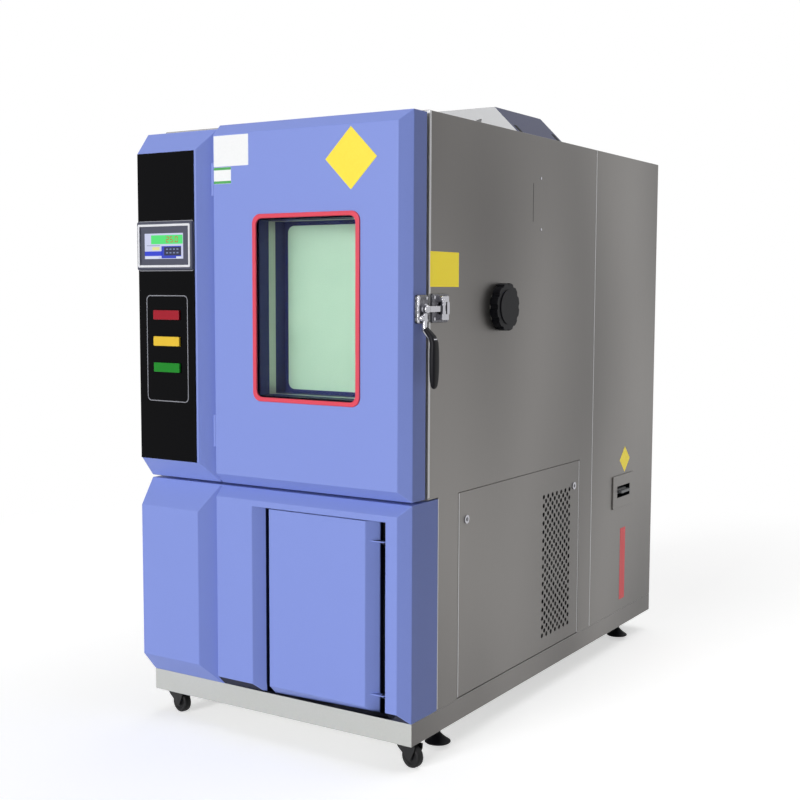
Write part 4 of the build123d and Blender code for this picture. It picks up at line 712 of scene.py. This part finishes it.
keeper_y, keeper_z, keeper_x = -698.25, 1219.5, 435.1
screw_head = [(4.6, 0), (4.6, 1.4), (3.8, 2.3), (2.0, 2.8), (0.6, 2.9)]
roller = ((5, 0), (7, 1.5), (7, 14), (5.6, 18), (5.6, 29), (7, 33), (7, 45.5), (5, 47))
mesh = bmesh.new()
for dy in (-32, 32):
    for dz in (-28, 28):
        turned(mesh, on_side(keeper_y + dy, keeper_z + dz, keeper_x), screw_head)
for z in (1243, 1196):
    slab(mesh, on_side(-694, z, keeper_x), (36, 16), 3.0, (-0.5, 13), 2.0)
slab(mesh, on_side(-672, keeper_z, keeper_x), (14, 34), 3.0, (-0.5, 9), 2.0)
turned(mesh, Matrix.Translation(Vector((443.0, -698, 1196)) * MM), roller, 32)
link_piece(mesh, "latch_keeper_roller", bright_steel, "cabinet")

# The grip's path gives x, z, thickness and width in millimetres, from the lever's tang down.
grip_path = (
    (445.5, 1167.0, 12, 17), (455.0, 1157.0, 13.5, 20), (465.0, 1146.0, 15, 24),
    (470.2, 1132.0, 16, 28), (470.9, 1112.0, 17, 31), (470.9, 1084.0, 17.5, 33),
    (470.9, 1058.0, 17, 32), (470.9, 1036.0, 15.5, 28), (470.9, 1022.0, 12.5, 22),
    (470.9, 1016.0, 8, 13), (470.9, 1013.8, 2, 3),
)
squareness = 0.6
mesh = bmesh.new()
rims = []
for i, (x, z, thick, wide) in enumerate(grip_path):
    before, after = grip_path[max(i - 1, 0)], grip_path[min(i + 1, len(grip_path) - 1)]
    along = Vector((after[0] - before[0], 0, after[1] - before[1])).normalized()
    across = Vector((-along.z, 0, along.x))
    loop = bmesh.ops.create_circle(mesh, cap_ends=False, segments=32, radius=1.0)["verts"]
    for vertex in loop:
        for axis in (0, 1):
            reach = vertex.co[axis]
            vertex.co[axis] = math.copysign(abs(reach) ** squareness, reach)
    turn = Matrix((across, (0, 1, 0), -along)).transposed().to_4x4()
    spread = Matrix.Diagonal((thick / 2, wide / 2, 1, 1))
    place = Matrix.Translation((x, latch_y, z)) @ turn @ spread
    bmesh.ops.transform(mesh, matrix=place, verts=loop)
    rims.append(list({edge for vertex in loop for edge in vertex.link_edges}))
for upper, lower in zip(rims, rims[1:]):
    bmesh.ops.bridge_loops(mesh, edges=upper + lower)
for rim in (rims[0], rims[-1]):
    bmesh.ops.edgeloop_fill(mesh, edges=rim)
settle(mesh, set(), Matrix())
link_piece(mesh, "latch_grip_moulded", black_nylon, "latch_lever", ["latch_grip"])

# Port plug: one piece of moulded black rubber, pushed into the steel sleeve of the cable port.
folded_sheet("port_plug", "port_plug_moulded", black_nylon, 2.0)

# Breaker: a steel cover plate over a black moulded pocket, which holds a grey rocker of ABS,
# plain and matt beside the black.
breaker_y, breaker_z = 590.75, 562
pocket_half = (58, 21)
breaker = folded_sheet("breaker_housing", "breaker_cover", side_steel, 1.2)
breaker.data.materials.append(black_nylon)
for polygon in breaker.data.polygons:
    x, y, z = polygon.center / MM
    outside = abs(y - breaker_y) > pocket_half[0] or abs(z - breaker_z) > pocket_half[1]
    steel = x > side_x + 4 or outside and x > side_x - 1
    polygon.material_index = int(not steel)
grey_plastic, tree, shader = new_finish("grey_abs", "#77797B", 0.4)
add_pattern(tree, shader, 0.9, bump_mm=0.015, roughness=(0.35, 0.45))
dress(grey_plastic, "breaker_toggle")

# Side labels and small fittings: blank vinyl as on the door, whose yellow and red carry a painted
# glow that brightens them on the shaded side, a thin black strip that is painted shade for a slit,
# and two chromed screws above and below the port.
small_screw = [(4.0, 0), (4.0, 1.0), (3.4, 1.6), (2.0, 1.9), (0.6, 2.0)]
mesh = bmesh.new()
slab(mesh, on_side(-667.25, 1321), (150, 92), 1.0, (0, 0.4), 0.15)
slab(mesh, on_side(607.75, 672) @ on_corner, (64, 64), 1.0, (0, 0.4), 0.15)
link_piece(mesh, "side_labels_yellow", vinyl["fluorescent_yellow"], "cabinet")
mesh = bmesh.new()
slab(mesh, on_side(601.75, 298.5), (46, 257), 1.0, (0, 0.4), 0.15)
link_piece(mesh, "side_label_red", vinyl["fluorescent_red"], "cabinet")
# Painted shade: a thin black strip stands for the dark inside of a slit.
mesh = bmesh.new()
slab(mesh, on_side(-146.25, 1527.5), (1.6, 115), 0.4, (0, 0.3), 0.1)
link_piece(mesh, "side_slit", seal_rubber, "cabinet")
mesh = bmesh.new()
for y, z in ((-96.25, 1602), (-92.25, 1450)):
    turned(mesh, on_side(y, z), small_screw)
link_piece(mesh, "side_screws", bright_steel, "cabinet")

# Inside the walls and the machine space: foamed insulation, finned coils and a fan of aluminium,
# a moulded water tank, and black-painted compressors, motor and condenser fan.

# Polyurethane foam: pale yellow and dull, with open cells.
foam, tree, shader = new_finish("polyurethane_foam", "#D9C98F", 0.85)
add_pattern(tree, shader, 2.0, bump_mm=0.3, shades=("#D2C186", "#DFD09A"))
dress(foam, "insulation")
# Mill-finish aluminium: a pale metal with a fine rolled grain.
aluminium, tree, shader = new_finish("mill_finish_aluminium", "#BFC1C4", 0.32, 0.95)
add_pattern(tree, shader, 1.5, bump_mm=0.006, roughness=(0.26, 0.4))
dress(aluminium, "fan_wheel", "cooling_coil", "condenser")
# Polyethylene: milky white and waxy.
tank_plastic, tree, shader = new_finish("white_polyethylene", "#DADCDB", 0.5)
add_pattern(tree, shader, 4.0, bump_mm=0.05, shades=("#D6D8D7", "#DFE1E0"))
dress(tank_plastic, "water_tank")
dress(black_steel, "compressors", "condenser_fan", "fan_motor")

# Floor and background: white seamless paper, which the camera and reflections see near white
# while it still takes the cabinet's shadow.


def seen_rays(tree):
    """One for rays from the camera, and for those that come by a mirror or through glass."""
    highest = {"operation": "MAXIMUM"}
    rays = add_node(tree, "LightPath")
    direct = (rays, "Is Camera Ray")
    mirror = add_node(tree, "Math", highest, _0=direct, _1=(rays, "Is Glossy Ray"))
    return add_node(tree, "Math", highest, _0=(mirror, "Value"), _1=(rays, "Is Transmission Ray"))


floor_data = bpy.data.meshes.new("floor")
mesh = bmesh.new()
bmesh.ops.create_grid(mesh, x_segments=1, y_segments=1, size=30.0)
mesh.to_mesh(floor_data)
mesh.free()
floor = bpy.data.objects.new("floor", floor_data)
bpy.context.scene.collection.objects.link(floor)
paper = bpy.data.materials.new("white_seamless_paper")
paper.use_nodes = True
tree = paper.node_tree
tree.nodes.clear()
place = add_node(tree, "TexCoord")
distance = add_node(tree, "VectorMath", {"operation": "LENGTH"}, _0=(place, "Object"))
far = add_node(tree, "MapRange", Value=(distance, "Value"), From_Min=1.6, From_Max=3.6)
seen = seen_rays(tree)
half = add_node(tree, "Math", {"operation": "MULTIPLY"}, _0=(seen, "Value"), _1=0.56)
share = add_node(tree, "Math", {"operation": "MULTIPLY"}, _0=(seen, "Value"), _1=(far, "Result"))
matt = add_node(tree, "BsdfDiffuse", Color=(0.85, 0.85, 0.85, 1))
glow = add_node(tree, "Emission", Color=(1, 1, 1, 1), Strength=(half, "Value"))
lit = add_node(tree, "AddShader", _0=(matt, "BSDF"), _1=(glow, "Emission"))
white = add_node(tree, "Emission", Color=(1, 1, 1, 1), Strength=1.0)
both = add_node(tree, "MixShader", Fac=(share, "Value"), _1=(lit, "Shader"), _2=(white, "Emission"))
add_node(tree, "OutputMaterial", Surface=(both, "Shader"))
floor_data.materials.append(paper)

world = bpy.data.worlds.new("studio")
bpy.context.scene.world = world
world.use_nodes = True
tree = world.node_tree
tree.nodes.clear()
seen = seen_rays(tree)
dim = add_node(tree, "Background", Color=(1, 1, 1, 1), Strength=0.13)
white = add_node(tree, "Background", Color=(1, 1, 1, 1), Strength=1.0)
both = add_node(
    tree, "MixShader", Fac=(seen, "Value"), _1=(dim, "Background"), _2=(white, "Background")
)
add_node(tree, "OutputWorld", Surface=(both, "Shader"))

# Studio lamps: a broad soft source, low at the front, lights the fronts at a plain level, and a
# very wide one overhead and a little behind drops the cabinet's soft shadow before it.
for name, energy, spread_deg, toward in (
    ("key_sun", 2.55, 22, Vector((-0.15, -1.0, 0.2))),
    ("top_sun", 0.9, 50, Vector((0.15, 0.3, 1.0))),
):
    lamp_data = bpy.data.lights.new(name, "SUN")
    lamp_data.energy = energy
    lamp_data.angle = math.radians(spread_deg)
    lamp = bpy.data.objects.new(name, lamp_data)
    lamp.location = toward * 4
    lamp.rotation_euler = toward.to_track_quat("Z", "Y").to_euler()
    bpy.context.scene.collection.objects.link(lamp)

bpy.context.scene.view_settings.view_transform = "Standard"
